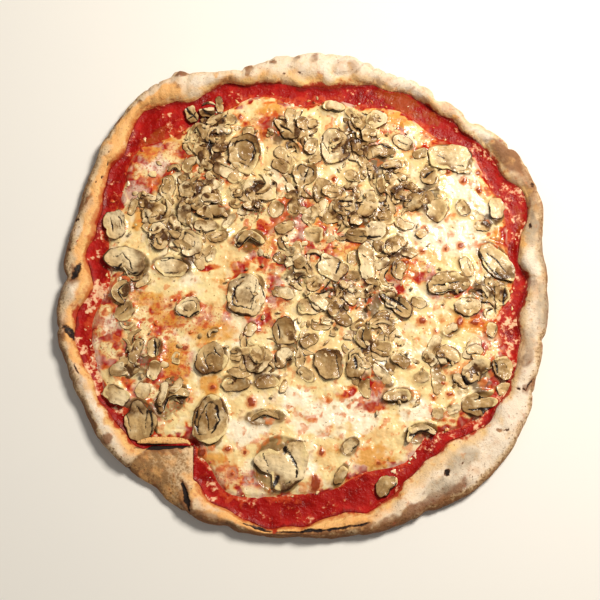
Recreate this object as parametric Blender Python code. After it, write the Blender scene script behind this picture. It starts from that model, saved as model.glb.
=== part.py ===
"""A mushroom pizza, 328 mm across, as separate solids.

The dough is one piece: a thin flat base with a raised, uneven rim that is folded
inwards at one place. A thin layer of tomato sauce lies on the base, melted
mozzarella lies on the sauce, and sliced mushrooms lie on top. The large slices are
pieces of their own; the small ones are joined to the cheese they have sunk into.

Blender 4.5, metres, +Z up. The origin is under the middle of the pizza, on the
surface it lies on. Lengths in the tables below are millimetres, angles are degrees
counter-clockwise from +X, seen from above.
"""

import math
import random

import bmesh
import bpy
import numpy as np
from mathutils import Vector
from mathutils.bvhtree import BVHTree

MM = 0.001
GAP = 0.3  # clear space between pieces that lie on each other

# Outlines seen from above: the radius at every 10 degrees.
OUTER = (
    163, 164.5, 172.5, 173.5, 169.5, 164, 164.5, 162.5, 167, 165, 161, 160.5,
    171.5, 175.5, 171.5, 166, 161.5, 160.5, 162.5, 166, 165.5, 166, 168, 165.5,
    167.5, 168.5, 167.5, 166, 168, 169, 171.5, 175.5, 175, 171, 165, 164.5,
)
SAUCE_EDGE = (
    148, 146, 161, 157, 154.5, 153.5, 152, 150, 141.5, 140.5, 144, 151.5,
    150.5, 163, 156, 152, 145, 145.5, 141, 153, 154, 152, 153, 148,
    147, 154.5, 160.5, 157, 152.5, 152, 143, 140, 148.5, 151, 149.5, 145,
)
CHEESE_EDGE = (
    140, 141, 147, 147, 145, 142, 141, 134, 134, 130, 135, 137,
    138, 138, 148, 142, 139, 131, 133, 143, 147, 148, 141, 138,
    134, 147, 143, 137, 138, 132, 134, 132, 144, 145, 145, 135,
)
# Bubbles and nicks in the outer edge: angle, how far it stands out, half width.
EDGE_BUMPS = (
    (10, -1.2, 4.0), (45.5, -3.0, 2.2), (55, -4.0, 2.0), (97, 1.5, 2.5),
    (106, -1.2, 2.2), (119.6, 4.2, 1.7), (178, -2.4, 2.4), (234, -1.6, 3.0),
    (253, -2.0, 2.4), (298, -1.6, 2.2), (347, -1.5, 2.4),
)

# Rim: its crest height at every 30 degrees, and the shape of its section.
CREST_HEIGHT = (11.5, 11, 11, 13, 13.5, 11, 11.5, 12, 12.5, 10.5, 11.5, 11)
CREST_AT = 0.56  # crest's place across the rim, from the sauce to the outside
INNER_FULLNESS = 1.7  # above 1 the inner side rises steeply, then levels off
EQUATOR = 0.4  # height of the widest ring, as a share of the crest height
TUCK = 5.0  # how far the underside curves in under the widest ring
SCALLOP_HEIGHT = 0.7
SCALLOPS = 23
INNER_STEPS = (0.22, 0.5, 0.8, 1.0)
OUTER_TURNS = (45, 90)
UNDER_TURNS = (45, 90)

# The fold: dough turned inwards over the toppings, cut off along two straight lines.
FOLD_FROM = 226.8
FOLD_TO = 241.9
FOLD_FRONT_Y = -106.0
FOLD_SIDE_X = -71.0
FOLD_HEIGHT = 9.5

# Heights of the layers above the base's flat underside.
DOUGH_TOP = 3.5
SAUCE_THICK = 1.0
SAUCE_BOTTOM = DOUGH_TOP + GAP
SAUCE_TOP = SAUCE_BOTTOM + SAUCE_THICK
CHEESE_BOTTOM = SAUCE_TOP + GAP
CHEESE_THICK = 2.1
CHEESE_LIP = 0.5  # thickness of the cheese at its very edge
CHEESE_RELIEF = 0.45
CHEESE_SLOPE = 8.0  # width of the band where the cheese thins out
SAUCE_CLEAR = 0.5  # between the sauce's side and the foot of the rim
SAUCE_LUMPS = 0.3
SAUCE_MARGIN = 4.0  # sauce that shows outside the cheese, at least
RINGS = 144  # divisions round the pizza
SHARP_FROM = 40  # edges that turn more than this stay sharp

# Mushroom slices: kind, x, y, length, width, turn of the length.
# whole: cap and stem, the stem points along the turn; cap: half-moon, its crown on
# the left of the turn; disc, slab, stem, leaf: their outlines; curl: a bent strip.
SLICES = (
    ("whole", -15, -119, 33, 37, 165),
    ("disc", -60.5, -91, 34, 22, 84),
    ("leaf", -106.5, -91, 30, 21, 97),
    ("slab", -122.5, -74, 18, 11, -30),
    ("cap", -118, 16, 30, 20, -12),
    ("curl", -121.5, -4, 18, 12, 80),
    ("slab", -127, 42, 20, 14, 98),
    ("cap", -97, 34, 19, 15, -80),
    ("leaf", -88, 13, 25, 15, 172),
    ("disc", -75.5, 29, 20, 15, 100),
    ("disc", -91.5, 68, 17, 10, 85),
    ("slab", -65.5, 69.5, 17, 7.5, 0),
    ("cap", -61, 50.5, 21, 9.5, 4),
    ("slab", -65.5, 41, 16, 7.5, -3),
    ("stem", -79.5, 50.5, 16, 6, 103),
    ("disc", -40, 92, 27, 22, 80),
    ("slab", -65.5, 122, 11, 7.5, 10),
    ("slab", -76.5, 120.5, 12, 8, 112),
    ("slab", -53, 116, 14, 8, 5),
    ("cap", -67.5, 96, 17, 14, 75),
    ("slab", -28.5, 67, 24, 15, -10),
    ("curl", -87, -77, 26, 16, 40),
    ("whole", -12, 110, 20, 13, 142),
    ("cap", 20.5, 125.5, 16, 9, -4),
    ("disc", 22, 97, 24, 21, 90),
    ("disc", 50, 116, 15, 13, 20),
    ("cap", 52, 93, 22, 11, 0),
    ("disc", 1, 78, 18, 16, 80),
    ("slab", 28, 54.5, 14, 12, 0),
    ("whole", 43.5, 37, 26, 13, 183),
    ("stem", 46, 55, 19, 7, 88),
    ("stem", 43, 14.5, 26, 10, 97),
    ("slab", 61.5, 28, 14, 10, 30),
    ("slab", 19, 12, 20, 15, -32),
    ("curl", -36, 31, 20, 14, 10),
    ("disc", -38, -7, 29, 25, 85),
    ("disc", -76, -15, 16, 14, 10),
    ("slab", -12.5, -31, 19, 14, 98),
    ("disc", -30, -50, 19, 18, 40),
    ("disc", -60.5, -50, 22, 20, 30),
    ("cap", -44.5, -66, 18, 11, 178),
    ("slab", 5.5, -14, 18, 11, 6),
    ("slab", 17, -53, 20, 18, 94),
    ("disc", 34.8, -53, 19, 13, 88),
    ("curl", 40, -36, 19, 11, 104),
    ("whole", 61.5, -12, 25, 12, 145),
    ("cap", 62.5, -74.5, 19, 10, 4),
    ("cap", 95.5, -47, 16, 12, -14),
    ("stem", 112.5, -57.5, 20, 12, 44),
    ("whole", 117, -79.5, 25, 16, 12),
    ("curl", 76, -98.5, 21, 12, 18),
    ("cap", 54, -133, 17, 13, 56),
    ("disc", 109.5, -14.5, 17, 13, 8),
    ("cap", 96.5, 0.5, 28, 17, 4),
    ("leaf", 129.5, 15.5, 33, 18, -50),
    ("slab", 100, 89, 29, 18, -8),
    ("disc", 131.5, -55.5, 16, 13, 95),
)
SLICE_THICK = {
    "whole": 3.0, "cap": 3.2, "disc": 2.6, "slab": 2.8, "stem": 4.2, "leaf": 2.4,
    "curl": 4.4,
}
SLICE_SIDES = 20
BIG_SLICE_SIDES = 24
BIG_SLICE = 24.0  # a slice longer than this gets the larger number of sides
SLICE_TAPER = 0.4  # how much smaller the upper face is, on each side
SLICE_BEND = 0.9  # how far a slice's two ends can lift
SLICE_TILT = 0.8  # steepest lean of a slice, as rise over run

# Small bits joined to the cheese: x, y, length, width, turn.
BITS = (
    (-71.5, 55.5, 7, 6.5, 30), (-62.5, 60, 11, 6, 0), (-79, 66, 10, 10, 0),
    (-49.5, 43.5, 11, 5, 48), (-105, -70, 9, 8, 80), (-98, -42, 11, 9, 80),
    (-98.5, -57, 12, 7, 72), (-112, -45, 15, 6, 67), (-118.5, -18, 12, 10, 45),
    (-119, -57, 9, 8, 90), (-71.5, 109, 12, 7, 10), (-54, 107, 9, 7, 0),
    (-37, 107.5, 7, 6, 0), (-6.5, 96, 10, 6, 10), (46, 104.5, 11, 7, 0),
    (61, 80, 12, 9, 10), (41, 78.5, 11, 4.5, 85), (19, 65, 14, 6.5, 5),
    (36, 45.5, 8, 4.5, 0), (75, 56, 9, 7, 60), (90.5, 53, 14, 12, 20),
    (108, 54, 9, 7, 90), (131, 54, 14, 9, 95), (86, 76, 12, 9, 80),
    (64, 11.5, 12, 8, -70), (-17.5, 51, 10, 8, 60), (-2, 5, 12, 12, 0),
    (-14.5, -5, 11, 7, 10), (-8, 23, 8, 6, 20), (-13, -48.5, 12, 10, 90),
    (-24, -65, 12, 7, 15), (22.5, -15, 10, 10, 0), (16, -26, 7, 5.5, 0),
    (51.5, -26.5, 14, 5.5, 10), (53, -42, 14, 9, -20), (64.5, -50.5, 10, 7, -10),
    (51.5, -59.5, 15, 5, -50), (102.5, -64.5, 12, 6, -40), (113.5, -43.5, 9, 6, 10),
    (118.5, -3.5, 8, 5, 0), (132, -7.5, 11, 9, 80), (-25, -87.5, 16, 6, 0),
    (-6, 54, 9, 9, 0), (33.5, 19, 9, 6, 85), (-43.5, -45.5, 8, 5, 80),
    (-33.5, 53.5, 13, 8, -10), (-113, 54, 11, 6, 60), (-87, 80.5, 9, 6, 0),
    (-45, 64, 7, 6, 0), (2, 113, 7, 6, 90), (6, 97, 9, 6, 80), (36.8, 96.5, 7, 5, 90),
    (34, 119, 11, 5, -50), (109.5, 13.5, 12, 6, 110), (24, -126.5, 12, 5, 60),
    (121, 41, 9, 6, 0), (7, 35, 13, 9, 0), (31, -107, 12, 8, 45), (88, -86, 7, 6, 0),
    (98, -83, 8, 6, 20), (-60, -32, 7, 5, 40),
)
BIT_SIDES = 7
BIT_SUNK = 1.1
BIT_PROUD = 1.7

COLOURS = {
    "dough": ((0.80, 0.62, 0.40), 0.75),
    "tomato": ((0.45, 0.02, 0.01), 0.35),
    "cheese": ((0.92, 0.76, 0.42), 0.40),
    "mushroom": ((0.55, 0.42, 0.24), 0.55),
}


# ---------------------------------------------------------------- shape formulas


def ring_value(values, degrees):
    """Smooth closed curve (Catmull-Rom) through values given at equal angles."""
    table = np.asarray(values, dtype=float)
    step = 360.0 / len(table)
    place = np.asarray(degrees, dtype=float) / step
    low = np.floor(place).astype(int)
    t = place - low
    p0, p1, p2, p3 = (table[(low + k) % len(table)] for k in (-1, 0, 1, 2))
    return 0.5 * (
        2 * p1
        + (p2 - p0) * t
        + (2 * p0 - 5 * p1 + 4 * p2 - p3) * t**2
        + (3 * p1 - p0 - 3 * p2 + p3) * t**3
    )


def turn_between(degrees, centre):
    """Signed angle from centre, between -180 and 180."""
    return (np.asarray(degrees, dtype=float) - centre + 180.0) % 360.0 - 180.0


def outer_radius(degrees):
    """The rim's widest line: the outline plus its bubbles and nicks."""
    radius = ring_value(OUTER, degrees)
    for centre, rise, width in EDGE_BUMPS:
        radius = radius + rise * np.exp(-((turn_between(degrees, centre) / width) ** 2))
    return radius


def fold_share(degrees):
    """1 where the dough is folded in, 0 elsewhere."""
    d = np.asarray(degrees, dtype=float) % 360.0
    return ((d > FOLD_FROM) & (d < FOLD_TO)).astype(float)


def foot_radius(degrees):
    """Where the rim meets the flat base: the sauce edge, or the fold's two edges."""
    angle = np.radians(np.asarray(degrees, dtype=float))
    front = abs(FOLD_FRONT_Y) / np.maximum(np.abs(np.sin(angle)), 0.2)
    side = abs(FOLD_SIDE_X) / np.maximum(np.abs(np.cos(angle)), 0.2)
    edge = ring_value(SAUCE_EDGE, degrees)
    folded = np.minimum(edge, np.maximum(front, side))
    return np.where(fold_share(degrees) > 0, folded, edge)


def cheese_radius(degrees):
    """The cheese's edge, kept inside the sauce, with small lobes."""
    angle = np.radians(np.asarray(degrees, dtype=float))
    lobes = 1.6 * np.sin(11 * angle + 0.7) + 1.1 * np.sin(17 * angle + 2.1)
    edge = ring_value(CHEESE_EDGE, degrees) + lobes
    return np.minimum(edge, foot_radius(degrees) - SAUCE_MARGIN)


def crest_height(degrees):
    """Crest of the rim: a slow change, a row of scallops, and the lower fold."""
    angle = np.radians(np.asarray(degrees, dtype=float))
    height = ring_value(CREST_HEIGHT, degrees)
    height = height + SCALLOP_HEIGHT * np.sin(SCALLOPS * angle) * np.sin(3 * angle + 1.0)
    return np.where(fold_share(degrees) > 0, FOLD_HEIGHT, height)


def relief(x, y):
    """Low waves in the melted cheese, between -1 and 1."""
    return (
        0.40 * np.sin(x / 13.0 + 0.4) * np.cos(y / 15.0 + 1.1)
        + 0.35 * np.sin((x + y) / 21.0 + 2.0)
        + 0.25 * np.cos((x - 1.6 * y) / 17.0)
    )


def cheese_height(radius, degrees):
    """Cheese surface: full thickness inside, thinning to a lip at the edge."""
    angle = np.radians(degrees)
    inward = np.clip((cheese_radius(degrees) - radius) / CHEESE_SLOPE, 0.0, 1.0)
    full = CHEESE_THICK + CHEESE_RELIEF * relief(
        radius * np.cos(angle), radius * np.sin(angle)
    )
    return CHEESE_BOTTOM + CHEESE_LIP + (full - CHEESE_LIP) * np.sqrt(inward)


# ---------------------------------------------------------------- mesh helpers


def new_material(name, colour, roughness):
    material = bpy.data.materials.new(name)
    material.use_nodes = True
    shader = material.node_tree.nodes["Principled BSDF"]
    shader.inputs["Base Color"].default_value = (*colour, 1.0)
    shader.inputs["Roughness"].default_value = roughness
    return material


def add_object(name, points_mm, faces, slot):
    """A mesh object from points in millimetres, all faces as triangles."""
    mesh = bpy.data.meshes.new(name)
    mesh.from_pydata([tuple(MM * c for c in p) for p in points_mm], [], faces)
    work = bmesh.new()
    work.from_mesh(mesh)
    bmesh.ops.triangulate(work, faces=work.faces)
    bmesh.ops.recalc_face_normals(work, faces=work.faces)
    work.to_mesh(mesh)
    work.free()
    mesh.shade_smooth()
    mesh.set_sharp_from_angle(angle=math.radians(SHARP_FROM))
    mesh.materials.append(MATERIALS[slot])
    item = bpy.data.objects.new(name, mesh)
    bpy.context.scene.collection.objects.link(item)
    return item


def bridge(faces, lower, upper):
    """Faces between two rings of point numbers, of equal count or two to one."""
    n = len(lower)
    m = len(upper)
    if n == m:
        for i in range(n):
            j = (i + 1) % n
            faces.append((lower[i], lower[j], upper[j], upper[i]))
        return
    for i in range(m):
        a, b, c = lower[2 * i], lower[2 * i + 1], lower[(2 * i + 2) % n]
        faces.append((a, b, upper[i]))
        faces.append((b, c, upper[(i + 1) % m]))
        faces.append((b, upper[(i + 1) % m], upper[i]))


def stack(rings, first_cap, last_cap):
    """Closed shell: rings of points bridged in order, both ends closed by a fan."""
    points = []
    loops = []
    for ring in rings:
        loops.append(list(range(len(points), len(points) + len(ring))))
        points.extend(ring)
    faces = []
    for lower, upper in zip(loops, loops[1:]):
        bridge(faces, lower, upper)
    for loop, cap in ((loops[0], first_cap), (loops[-1], last_cap)):
        points.append(cap)
        for i, a in enumerate(loop):
            faces.append((a, loop[(i + 1) % len(loop)], len(points) - 1))
    return points, faces


def polar_ring(degrees, radius, height):
    """Points of one ring from arrays of radius and height."""
    angle = np.radians(degrees)
    height = np.broadcast_to(height, degrees.shape)
    return list(zip(radius * np.cos(angle), radius * np.sin(angle), height))


# ---------------------------------------------------------------- the layers


def build_crust():
    """The dough: underside, tucked-in side, outside, crest, inner slope, flat base."""
    degrees = np.arange(RINGS) * 360.0 / RINGS
    foot = foot_radius(degrees)
    outer = outer_radius(degrees)
    crest = crest_height(degrees)
    crest_radius = foot + CREST_AT * (outer - foot)
    equator = EQUATOR * crest
    rings = []
    for turn in reversed(UNDER_TURNS):
        a = math.radians(turn)
        radius = outer - TUCK * (1 - math.cos(a))
        rings.append(polar_ring(degrees, radius, equator * (1 - math.sin(a))))
    for turn in reversed(OUTER_TURNS):
        a = math.radians(turn)
        radius = crest_radius + (outer - crest_radius) * math.sin(a)
        rings.append(polar_ring(degrees, radius, equator + (crest - equator) * math.cos(a)))
    for share in reversed(INNER_STEPS):
        radius = foot + share * (crest_radius - foot)
        rise = (1 - (1 - share) ** 2) ** (1 / INNER_FULLNESS)
        rings.append(polar_ring(degrees, radius, DOUGH_TOP + (crest - DOUGH_TOP) * rise))
    rings.append(polar_ring(degrees, foot, DOUGH_TOP))
    points, faces = stack(rings, (0, 0, 0), (0, 0, DOUGH_TOP))
    return add_object("crust", points, faces, "dough")


def build_sauce():
    """A thin layer on the base, right out to the rim, lumpy where it shows."""
    degrees = np.arange(RINGS) * 360.0 / RINGS
    edge = foot_radius(degrees) - SAUCE_CLEAR
    inner = cheese_radius(degrees)
    angle = np.radians(degrees)
    lumps = SAUCE_LUMPS * (np.sin(19 * angle) + np.cos(31 * angle + 1.0)) * 0.5
    half = degrees[::2]
    rings = [
        polar_ring(degrees, edge, SAUCE_BOTTOM),
        polar_ring(degrees, edge, SAUCE_BOTTOM + 0.5 * SAUCE_THICK),
        polar_ring(degrees, edge - 1.3, SAUCE_TOP + lumps),
        polar_ring(half, (0.5 * inner + 0.5 * (edge - 1.3))[::2], SAUCE_TOP - lumps[::2]),
        polar_ring(half, inner[::2] + 0.6, SAUCE_TOP - 0.05),
    ]
    points, faces = stack(rings, (0, 0, SAUCE_BOTTOM), (0, 0, SAUCE_TOP - 0.05))
    return add_object("tomato_sauce", points, faces, "tomato")


def build_cheese():
    """Melted cheese: a flat underside, a thin lip, and low waves on top."""
    degrees = np.arange(RINGS) * 360.0 / RINGS
    edge = cheese_radius(degrees)
    rings = [
        polar_ring(degrees, edge, CHEESE_BOTTOM),
        polar_ring(degrees, edge + 0.3, CHEESE_BOTTOM + CHEESE_LIP),
    ]
    for share, skip in ((0.975, 1), (0.93, 1), (0.81, 2), (0.66, 2), (0.5, 4), (0.31, 4)):
        part = degrees[::skip]
        radius = share * edge[::skip]
        rings.append(polar_ring(part, radius, cheese_height(radius, part)))
    top = float(cheese_height(np.array([0.0]), np.array([0.0]))[0])
    points, faces = stack(rings, (0, 0, CHEESE_BOTTOM), (0, 0, top))
    return add_object("mozzarella", points, faces, "cheese")


# ---------------------------------------------------------------- the mushrooms


def superellipse(phi, a, b, power):
    """Distance to a rounded outline: 2 is an ellipse, 4 almost a rectangle."""
    return (np.abs(np.cos(phi) / a) ** power + np.abs(np.sin(phi) / b) ** power) ** (
        -1.0 / power
    )


def off_centre_ellipse(phi, centre, a, b):
    """Distance from the origin to an ellipse whose middle lies at (centre, 0)."""
    c, s = np.cos(phi), np.sin(phi)
    qa = (c / a) ** 2 + (s / b) ** 2
    qb = -2 * c * centre / a**2
    qc = (centre / a) ** 2 - 1
    return (-qb + np.sqrt(qb**2 - 4 * qa * qc)) / (2 * qa)


def curl_outline(length, width, count):
    """A strip bent into an arch: its upper side there, its lower side back."""
    strip = 0.42 * width
    half = count // 2
    s = np.linspace(-1, 1, half)
    x = s * (length - strip) / 2
    y = (width - strip) / 2 - (width - strip) * s**2
    slope = -2 * (width - strip) * s * 2 / (length - strip)
    norm = np.sqrt(1 + slope**2)
    side = 0.5 * strip * np.sqrt(1 - 0.75 * s**4)
    upper = np.stack([x - side * slope / norm, y + side / norm], 1)
    lower = np.stack([x + side * slope / norm, y - side / norm], 1)
    return np.concatenate([upper, lower[::-1]])[::-1]


def slice_outline(kind, length, width, count, seed):
    """Outline of one mushroom slice round its own middle, counter-clockwise."""
    if kind == "curl":
        return curl_outline(length, width, count)
    phi = np.arange(count) * 2 * np.pi / count
    a, b = length / 2, width / 2
    rnd = random.Random(seed)
    shift = [rnd.uniform(0, 2 * math.pi) for _ in range(3)]
    wobble = 1 + 0.035 * np.sin(3 * phi + shift[0]) + 0.02 * np.sin(5 * phi + shift[1])
    if kind == "whole":
        cap = off_centre_ellipse(phi, -0.38 * a, 0.62 * a, b)
        stem = off_centre_ellipse(phi, 0.3 * a, 0.7 * a, 0.42 * b)
        radius = (cap**8 + stem**8) ** 0.125
    elif kind == "cap":
        radius = superellipse(phi, a, b, 2.0)
        dent = np.exp(-((turn_between(np.degrees(phi), 270) / 42) ** 2))
        radius = radius * (1 - 0.42 * dent)
    elif kind == "stem":
        radius = superellipse(phi, a, b, 3.2) * (1 + 0.08 * np.cos(phi))
    else:
        power = {"disc": 2.2, "slab": 3.6, "leaf": 1.5}[kind]
        radius = superellipse(phi, a, b, power)
    radius = radius * wobble
    return np.stack([radius * np.cos(phi), radius * np.sin(phi)], 1)


def inside_samples(outline):
    """Points at which a slice is held clear of what it lies on."""
    shares = (1.0, 0.75, 0.5, 0.25, 0.0)
    return np.concatenate([outline * share for share in shares])


def surface_height(trees, x, y):
    """Highest surface under a point, in millimetres."""
    best = 0.0
    for tree in trees:
        hit = tree.ray_cast(Vector((x * MM, y * MM, 1.0)), Vector((0, 0, -1)))
        if hit[0] is not None:
            best = max(best, hit[0].z / MM)
    return best


def place(outline, x, y, turn):
    """Outline turned and moved to its place, seen from above."""
    a = math.radians(turn)
    spin = np.array([[math.cos(a), math.sin(a)], [-math.sin(a), math.cos(a)]])
    return outline @ spin + np.array([x, y])


def add_slice(name, row, seed, trees):
    """One slice: a tapered plate, leaning on what is under it, its ends lifted."""
    kind, x, y, length, width, turn = row
    count = BIG_SLICE_SIDES if max(length, width) > BIG_SLICE else SLICE_SIDES
    outline = slice_outline(kind, length, width, count, seed)
    shrink = 1 - 2 * SLICE_TAPER / min(length, width)
    rnd = random.Random(1000 + seed)
    bend = rnd.uniform(0.2, 1.0) * SLICE_BEND
    samples = inside_samples(outline)
    lift = bend * (2 * samples[:, 0] / length) ** 2
    flat = place(samples, x, y, turn)
    ground = np.array([surface_height(trees, px, py) for px, py in flat])
    need = ground - lift
    design = np.column_stack([flat - np.array([x, y]), np.ones(len(flat))])
    lean = np.linalg.lstsq(design, need, rcond=None)[0]
    steep = math.hypot(lean[0], lean[1])
    if steep > SLICE_TILT:
        lean[:2] *= SLICE_TILT / steep
    base = float(np.max(need - design[:, :2] @ lean[:2])) + 1.2 * GAP
    points = []
    for scale, up in ((1.0, 0.0), (shrink, SLICE_THICK[kind])):
        edge = outline * scale
        plan = place(edge, x, y, turn)
        raised = bend * (2 * edge[:, 0] / length) ** 2
        height = base + (plan - np.array([x, y])) @ lean[:2] + raised + up
        points.extend(zip(plan[:, 0], plan[:, 1], height))
    lower = list(range(count))
    upper = list(range(count, 2 * count))
    faces = [tuple(reversed(lower)), tuple(upper)]
    bridge(faces, lower, upper)
    return add_object(name, points, faces, "mushroom")


def add_bits(cheese, trees):
    """Small bits of mushroom, half sunk in the cheese and made one piece with it."""
    group = bpy.data.collections.new("bits")
    bpy.context.scene.collection.children.link(group)
    phi = np.arange(BIT_SIDES) * 2 * np.pi / BIT_SIDES
    made = []
    for number, (x, y, length, width, turn) in enumerate(BITS):
        rnd = random.Random(500 + number)
        radius = superellipse(phi + 0.2, length / 2, width / 2, 2.6)
        radius = radius * np.array([rnd.uniform(0.88, 1.08) for _ in phi])
        outline = np.stack([radius * np.cos(phi + 0.2), radius * np.sin(phi + 0.2)], 1)
        ground = surface_height(trees, x, y)
        lean = rnd.uniform(-0.06, 0.06)
        points = []
        for scale, height in ((1.0, -BIT_SUNK), (0.86, BIT_PROUD)):
            plan = place(outline * scale, x, y, turn)
            z = ground + height + (lean * outline[:, 0] if height > 0 else 0.0)
            points.extend(zip(plan[:, 0], plan[:, 1], np.broadcast_to(z, len(phi))))
        lower = list(range(BIT_SIDES))
        upper = list(range(BIT_SIDES, 2 * BIT_SIDES))
        faces = [tuple(reversed(lower)), tuple(upper)]
        bridge(faces, lower, upper)
        bit = add_object("bit", points, faces, "mushroom")
        bpy.context.scene.collection.objects.unlink(bit)
        group.objects.link(bit)
        made.append(bit)
    union = cheese.modifiers.new("bits", "BOOLEAN")
    union.operation = "UNION"
    union.operand_type = "COLLECTION"
    union.collection = group
    union.solver = "EXACT"
    graph = bpy.context.evaluated_depsgraph_get()
    joined = bpy.data.meshes.new_from_object(cheese.evaluated_get(graph))
    cheese.modifiers.clear()
    old = cheese.data
    cheese.data = joined
    joined.name = "mozzarella"
    bpy.data.meshes.remove(old)
    for bit in made:
        bpy.data.objects.remove(bit)
    bpy.data.collections.remove(group)


def tree_of(item):
    """Search tree of an object's triangles, for finding heights."""
    work = bmesh.new()
    work.from_mesh(item.data)
    tree = BVHTree.FromBMesh(work)
    work.free()
    return tree


def main():
    for item in list(bpy.data.objects):
        bpy.data.objects.remove(item)
    for slot, (colour, roughness) in COLOURS.items():
        MATERIALS[slot] = new_material(slot, colour, roughness)
    crust = build_crust()
    sauce = build_sauce()
    cheese = build_cheese()
    trees = [tree_of(item) for item in (crust, sauce, cheese)]
    add_bits(cheese, trees)
    trees[2] = tree_of(cheese)
    for number, row in enumerate(SLICES, start=1):
        add_slice(f"mushroom_{row[0]}_{number:02d}", row, number, trees)


MATERIALS = {}
main()
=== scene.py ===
"""The looks of a mushroom pizza: baked crust, tomato sauce, melted mozzarella, mushrooms.

Lengths in the tables are millimetres, angles are degrees counter-clockwise from +X,
seen from above. The origin is under the middle of the pizza, on what it lies on.
"""

import math

import bpy
import numpy as np
from bpy.props import FloatProperty, FloatVectorProperty, PointerProperty
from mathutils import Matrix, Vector


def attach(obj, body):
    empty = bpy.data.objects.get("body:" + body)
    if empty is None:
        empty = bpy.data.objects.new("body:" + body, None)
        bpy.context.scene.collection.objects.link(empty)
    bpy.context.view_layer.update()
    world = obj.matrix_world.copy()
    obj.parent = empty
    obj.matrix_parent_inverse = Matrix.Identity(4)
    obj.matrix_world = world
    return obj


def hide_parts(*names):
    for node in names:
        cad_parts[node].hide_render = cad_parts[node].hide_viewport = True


bl_info = {
    "name": "Mushroom pizza",
    "version": (1, 0, 0),
    "blender": (4, 5, 0),
    "location": "View3D > Sidebar > Pizza",
    "description": "Builds a baked pizza with tomato sauce, mozzarella and mushrooms",
    "category": "Add Mesh",
}

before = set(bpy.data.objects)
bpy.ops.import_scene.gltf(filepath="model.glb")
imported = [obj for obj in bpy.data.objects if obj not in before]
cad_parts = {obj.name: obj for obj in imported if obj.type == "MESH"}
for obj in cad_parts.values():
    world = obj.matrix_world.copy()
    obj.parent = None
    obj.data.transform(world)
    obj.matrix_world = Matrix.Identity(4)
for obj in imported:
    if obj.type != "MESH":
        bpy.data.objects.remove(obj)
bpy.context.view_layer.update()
MM = 0.001

# ---------------------------------------------------------------- sizes of the pizza

# Outlines seen from above: the radius at every 10 degrees.
OUTER = (
    163, 164.5, 172.5, 173.5, 169.5, 164, 164.5, 162.5, 167, 165, 161, 160.5,
    171.5, 175.5, 171.5, 166, 161.5, 160.5, 162.5, 166, 165.5, 166, 168, 165.5,
    167.5, 168.5, 167.5, 166, 168, 169, 171.5, 175.5, 175, 171, 165, 164.5,
)
SAUCE_EDGE = (
    148, 146, 161, 157, 154.5, 153.5, 152, 150, 141.5, 140.5, 144, 151.5,
    150.5, 163, 156, 152, 145, 145.5, 141, 153, 154, 152, 153, 148,
    147, 154.5, 160.5, 157, 152.5, 152, 143, 140, 148.5, 151, 149.5, 145,
)
CHEESE_EDGE = (
    140, 141, 147, 147, 145, 142, 141, 134, 134, 130, 135, 137,
    138, 138, 148, 142, 139, 131, 133, 143, 147, 148, 141, 138,
    134, 147, 143, 137, 138, 132, 134, 132, 144, 145, 145, 135,
)
# Bubbles and nicks in the outer edge: angle, how far it stands out, half width.
EDGE_BUMPS = (
    (10, -1.2, 4.0), (45.5, -3.0, 2.2), (55, -4.0, 2.0), (97, 1.5, 2.5),
    (106, -1.2, 2.2), (119.6, 4.2, 1.7), (178, -2.4, 2.4), (234, -1.6, 3.0),
    (253, -2.0, 2.4), (298, -1.6, 2.2), (347, -1.5, 2.4),
)
CREST_HEIGHT = (11.5, 11, 11, 13, 13.5, 11, 11.5, 12, 12.5, 10.5, 11.5, 11)
CREST_AT = 0.56  # crest's place across the rim, from the sauce to the outside
INNER_FULLNESS = 1.7  # above 1 the inner side rises steeply, then levels off
EQUATOR = 0.4  # height of the widest ring, as a share of the crest height
TUCK = 5.0  # how far the underside curves in under the widest ring
# The dough folded inwards, between two angles and along two straight edges.
FOLD_FROM, FOLD_TO = 226.8, 241.9
FOLD_FRONT_Y, FOLD_SIDE_X, FOLD_HEIGHT = -106.0, -71.0, 9.5
# The torn lip along the fold: its left end, its length, half thickness and half width.
LIP_X, LIP_Y, LIP_Z, LIP_LENGTH, LIP_THICK, LIP_WIDE = -108, -104.2, 6.2, 37, 1.15, 2.5
DOUGH_TOP = 3.5
SAUCE_BOTTOM, SAUCE_TOP = 3.8, 4.8
CHEESE_BOTTOM, CHEESE_THICK = 5.1, 2.1
CHEESE_SLOPE = 8.0  # how far in from its edge the cheese reaches its full thickness
HIGHEST = 14.2  # nothing stands higher
COLUMNS = 864  # points round the crust and the sauce
UNDER_ROWS, OUTER_ROWS, INNER_ROWS, SAUCE_ROWS = 7, 22, 34, 44
CHEESE_SIDE = 286  # points along each side of the cheese's net
SAUCE_UNDER_CHEESE = 14.0  # how far the sauce's lumps run in under the cheese
STREWN_TO = 132.0  # no loose slice lies farther out
FILM_ROUGHNESS = 0.12  # of the moist film on cheese and mushrooms
ONCE_ROUND = 6.28  # a full turn, near enough for directions drawn at random
KNOTS = 64  # knots along each side of the noise's net, after which it repeats

# Creases across the rim: angle, depth, half width in degrees.
CREASES = (
    (34.5, 1.6, 0.7), (45.5, 1.0, 1.6), (55, 1.2, 1.4), (72.5, 0.9, 0.6),
    (106, 1.0, 0.9), (178, 1.4, 0.8), (190, 1.2, 0.8), (203, 0.8, 0.6),
    (243, 1.0, 0.7), (253, 1.0, 1.0), (298, 0.8, 1.0), (334.5, 1.0, 0.5),
    (347, 1.0, 0.8),
)

# ---------------------------------------------------------------- mushroom slices

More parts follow.
